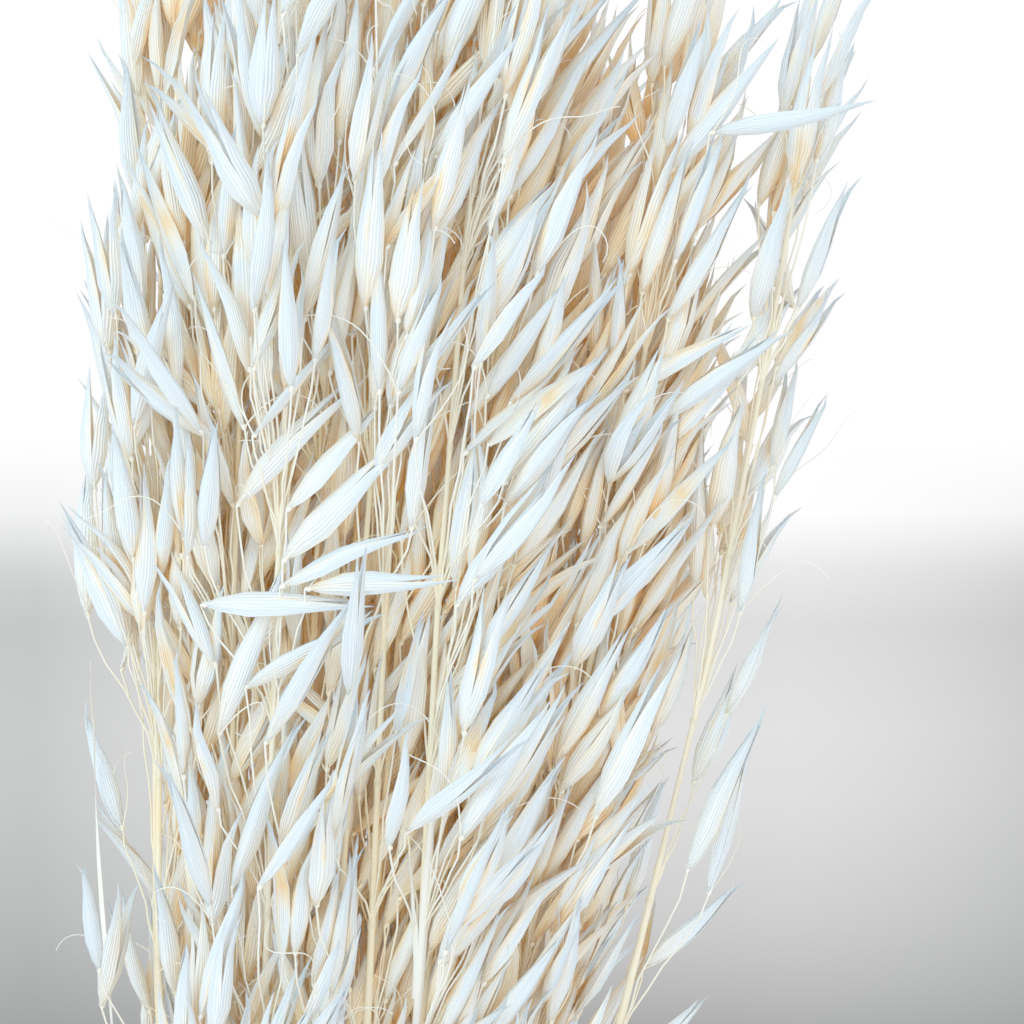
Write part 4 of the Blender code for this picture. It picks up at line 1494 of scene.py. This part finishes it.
# Straw: colours of a stem, of a thread and of a papery strip, from its skin to deep inside, the darker
# and warmer ones deep inside being painted shade
STRAW_STOPS = {
    "stem": (
        (0.0, (0.84, 0.82, 0.70)), (0.4, (0.88, 0.74, 0.42)),
        (0.75, (0.92, 0.56, 0.18)), (1.0, (0.88, 0.36, 0.06)),
    ),
    "thread": (
        (0.0, (0.86, 0.85, 0.78)), (0.4, (0.90, 0.78, 0.50)),
        (0.75, (0.93, 0.60, 0.22)), (1.0, (0.90, 0.38, 0.07)),
    ),
    "papery": (
        (0.0, (0.84, 0.84, 0.80)), (0.4, (0.80, 0.74, 0.60)),
        (0.75, (0.70, 0.58, 0.38)), (1.0, (0.50, 0.36, 0.20)),
    ),
}
MARK_COLOURS = {"stem": (0.50, 0.40, 0.22, 1), "thread": (0.8, 0.8, 0.8, 1), "papery": (0.8, 0.8, 0.8, 1)}


def straw_finish(name):
    """Dried stem: long fine fibres along it, darker rings at its joints, and painted shade deeper inside
    the bundle.
    """
    finish = Finish(name, roughness=0.55)
    fibre = finish.noise(finish.place((2600, 40, 2600)), scale=1, detail=3)
    clouds = finish.noise(finish.place((1, 1, 1)), scale=45, detail=3)
    # Depth inside the bundle darkens and warms the straw: painted shade
    tone = finish.attribute("inside") * 0.8 + (fibre - 0.5) * 0.5 + (clouds - 0.5) * 0.5 + 0.15
    colour = finish.ramp(tone.held(), STRAW_STOPS[name])
    ring = (finish.attribute("mark") ** 2.0 * 0.6).held()
    finish.colour(finish.mixed("MIX", colour, MARK_COLOURS[name], ring))
    finish.put(finish.shader.inputs["Roughness"], (fibre * 0.25 + 0.42).held())
    finish.bump(fibre, strength=0.5, distance=0.15 * MM)
    return finish.material


TWINE_STOPS = (
    (0.2, (0.25, 0.155, 0.075)),
    (0.5, (0.43, 0.30, 0.165)),
    (0.85, (0.62, 0.47, 0.29)),
)


def twine_finish():
    """Natural jute: matt, with fibres in several browns."""
    finish = Finish("jute_twine", roughness=0.9)
    fibre = finish.noise(finish.place((900, 900, 900)), scale=1, detail=4)
    clouds = finish.noise(finish.place((1, 1, 1)), scale=160, detail=2)
    tone = (fibre * 0.9 + (clouds - 0.5) * 0.5).held()
    finish.colour(finish.ramp(tone, TWINE_STOPS))
    finish.bump(fibre, strength=0.6, distance=0.3 * MM)
    return finish.material


# The floor's glow, with painted light falloff: a fade from grey to white, where it starts below the
# middle of the picture, how long it is, which greys it goes through, and how its sides are painted dimmer
# below the white
FLOOR_SIZE = 6.0
FLOOR_GLOW = 0.95
FLOOR_GREY = (0.05, 0.05, 0.05, 1)
FADE_START = 115 * MM
FADE_LENGTH = 140 * MM
FADE_STOPS = (
    (0.0, (0.115, 0.114, 0.113)), (0.18, (0.325, 0.323, 0.322)), (0.36, (0.487, 0.485, 0.483)),
    (0.47, (0.528, 0.526, 0.524)), (0.64, (0.476, 0.474, 0.473)), (0.73, (0.64, 0.638, 0.637)),
    (0.82, (1.0, 1.0, 1.0)),
)
FADE_MIDDLE = 8 * MM
FADE_CLEAR = 55 * MM
FADE_SIDE = 60 * MM
FADE_SIDE_POWER = 1.3
FADE_SIDE_ENDS = 0.95
FADE_SIDE_ENDS_OVER = 0.25
FADE_DIMMEST = 0.5

# Camera and lights: each light's place from the middle of the head, its size, power and colour
CAMERA_PLACE = Vector((0.0181, 0.3735, 0.5126))
CAMERA_ROLL = math.radians(5.2)
CAMERA_LENS = 80.0
CAMERA_SENSOR = 36.0
CAMERA_SEES = 20.0
HEAD_MIDDLE = 0.05
LIGHTS = {
    "key": (Vector((-0.7, 0.4, 0.8)), 0.7, 7.8, (0.62, 0.91, 1.0)),
    "fill": (Vector((0.7, -0.3, 0.9)), 1.2, 2, (1.0, 0.94, 0.86)),
}
WORLD_COLOUR = (0.93, 0.98, 0.99, 1)


def make_floor(middle):
    """The floor, with the photo's fade from white to grey along it and dimmer at both sides."""
    select_nothing()
    bpy.ops.mesh.primitive_plane_add(size=FLOOR_SIZE)
    floor = bpy.context.object
    floor.name = "floor"
    finish = Finish("glowing_floor", roughness=0.9)
    across, along = finish.parts(finish.add("ShaderNodeTexCoord").outputs["Object"])
    across = across - middle.x
    along = along - middle.y
    up = along * math.cos(CAMERA_ROLL) - across * math.sin(CAMERA_ROLL)
    right = across * math.cos(CAMERA_ROLL) + along * math.sin(CAMERA_ROLL) - FADE_MIDDLE
    share = ((up + FADE_START) * (1 / FADE_LENGTH)).held()
    side = ((right.size() - FADE_CLEAR) * (1 / FADE_SIDE)).held()
    below = ((FADE_SIDE_ENDS - share) * (1 / FADE_SIDE_ENDS_OVER)).held()
    painted_side_dimming = side ** FADE_SIDE_POWER * below * FADE_DIMMEST
    # The floor glows, so hardly any shadow shows on it, and its fade and dimmer sides are painted light
    # falloff
    colour = finish.mixed("MIX", finish.ramp(share, FADE_STOPS), (0, 0, 0, 1), painted_side_dimming)
    finish.colour(FLOOR_GREY)
    finish.put(finish.shader.inputs["Emission Color"], colour)
    finish.put(finish.shader.inputs["Emission Strength"], FLOOR_GLOW)
    finish.material.cycles.emission_sampling = "NONE"
    floor.data.materials.append(finish.material)


def add_light(name, head, away, size, power, colour):
    """One soft square light, turned to the middle of the head."""
    data = bpy.data.lights.new(name, "AREA")
    data.size = size
    data.energy = power
    data.color = colour
    light = bpy.data.objects.new(name, data)
    light.location = head + away
    light.rotation_euler = (-away).to_track_quat("-Z", "Y").to_euler()
    bpy.context.scene.collection.objects.link(light)


def make_room(shift):
    """Camera, lights, floor and the picture's tone."""
    scene = bpy.context.scene
    data = bpy.data.cameras.new("camera")
    data.lens = CAMERA_LENS
    data.sensor_width = CAMERA_SENSOR
    data.clip_end = CAMERA_SEES
    camera = bpy.data.objects.new("camera", data)
    camera.location = CAMERA_PLACE + shift
    camera.rotation_euler = (0, 0, CAMERA_ROLL)
    scene.collection.objects.link(camera)
    scene.camera = camera
    make_floor(camera.location)
    head = Vector((camera.location.x, camera.location.y, HEAD_MIDDLE))
    for name, light in LIGHTS.items():
        add_light(name, head, *light)
    world = bpy.data.worlds.new("room")
    scene.world = world
    world.use_nodes = True
    background = world.node_tree.nodes["Background"]
    background.inputs["Color"].default_value = WORLD_COLOUR
    background.inputs["Strength"].default_value = 1.0
    scene.view_settings.view_transform = "Standard"
    scene.view_settings.gamma = 2.2
    scene.cycles.diffuse_bounces = 8
    scene.cycles.glossy_bounces = 2
    scene.cycles.use_light_tree = False
    scene.cycles.debug_use_spatial_splits = True


def frame_shift(stalks):
    """How far the bundle moved from its tie's place onto its origin, read off one packed stalk."""
    low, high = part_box(stalks[0].name)
    points = list(stem_tube(stalks[0].points, [stalks[0].radius(p.y) for p in stalks[0].points])[0])
    for spikelet in stalks[0].spikelets:
        points += spikelet.shell()
    return Vector([low[axis] - min(point[axis] for point in points) for axis in range(3)])


def finish_piece(piece, shift, node):
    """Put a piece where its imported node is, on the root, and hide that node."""
    piece.data.transform(Matrix.Translation(shift))
    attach(piece, "root")
    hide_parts(node)


def main():
    """Lay the bundle out as the frame's, thicken it, and make its finer pieces."""
    cad_low, cad_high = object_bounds()
    draw = random.Random(SEED)
    stalks, room = lay_bundle(draw)
    shift = frame_shift(stalks)
    thicken(stalks, room, cad_low - shift, cad_high - shift, draw)
    finishes = {name: straw_finish(name) for name in STRAW_STOPS}
    finishes["husk"] = husk_finish()
    kinds = [make_kind(*kind, finishes["husk"]) for kind in KINDS]
    bodies = all_bodies(stalks)
    first = 0
    for stalk in stalks:
        made = make_stalk(stalk, first, kinds, finishes, bodies, draw)
        finish_piece(made, shift, stalk.name)
        first += len(stalk.spikelets)
    for kind in kinds:
        bpy.data.objects.remove(kind)
    twine = make_twine(stalks, twine_finish(), draw)
    finish_piece(twine, shift, "tie")
    make_room(shift)


main()
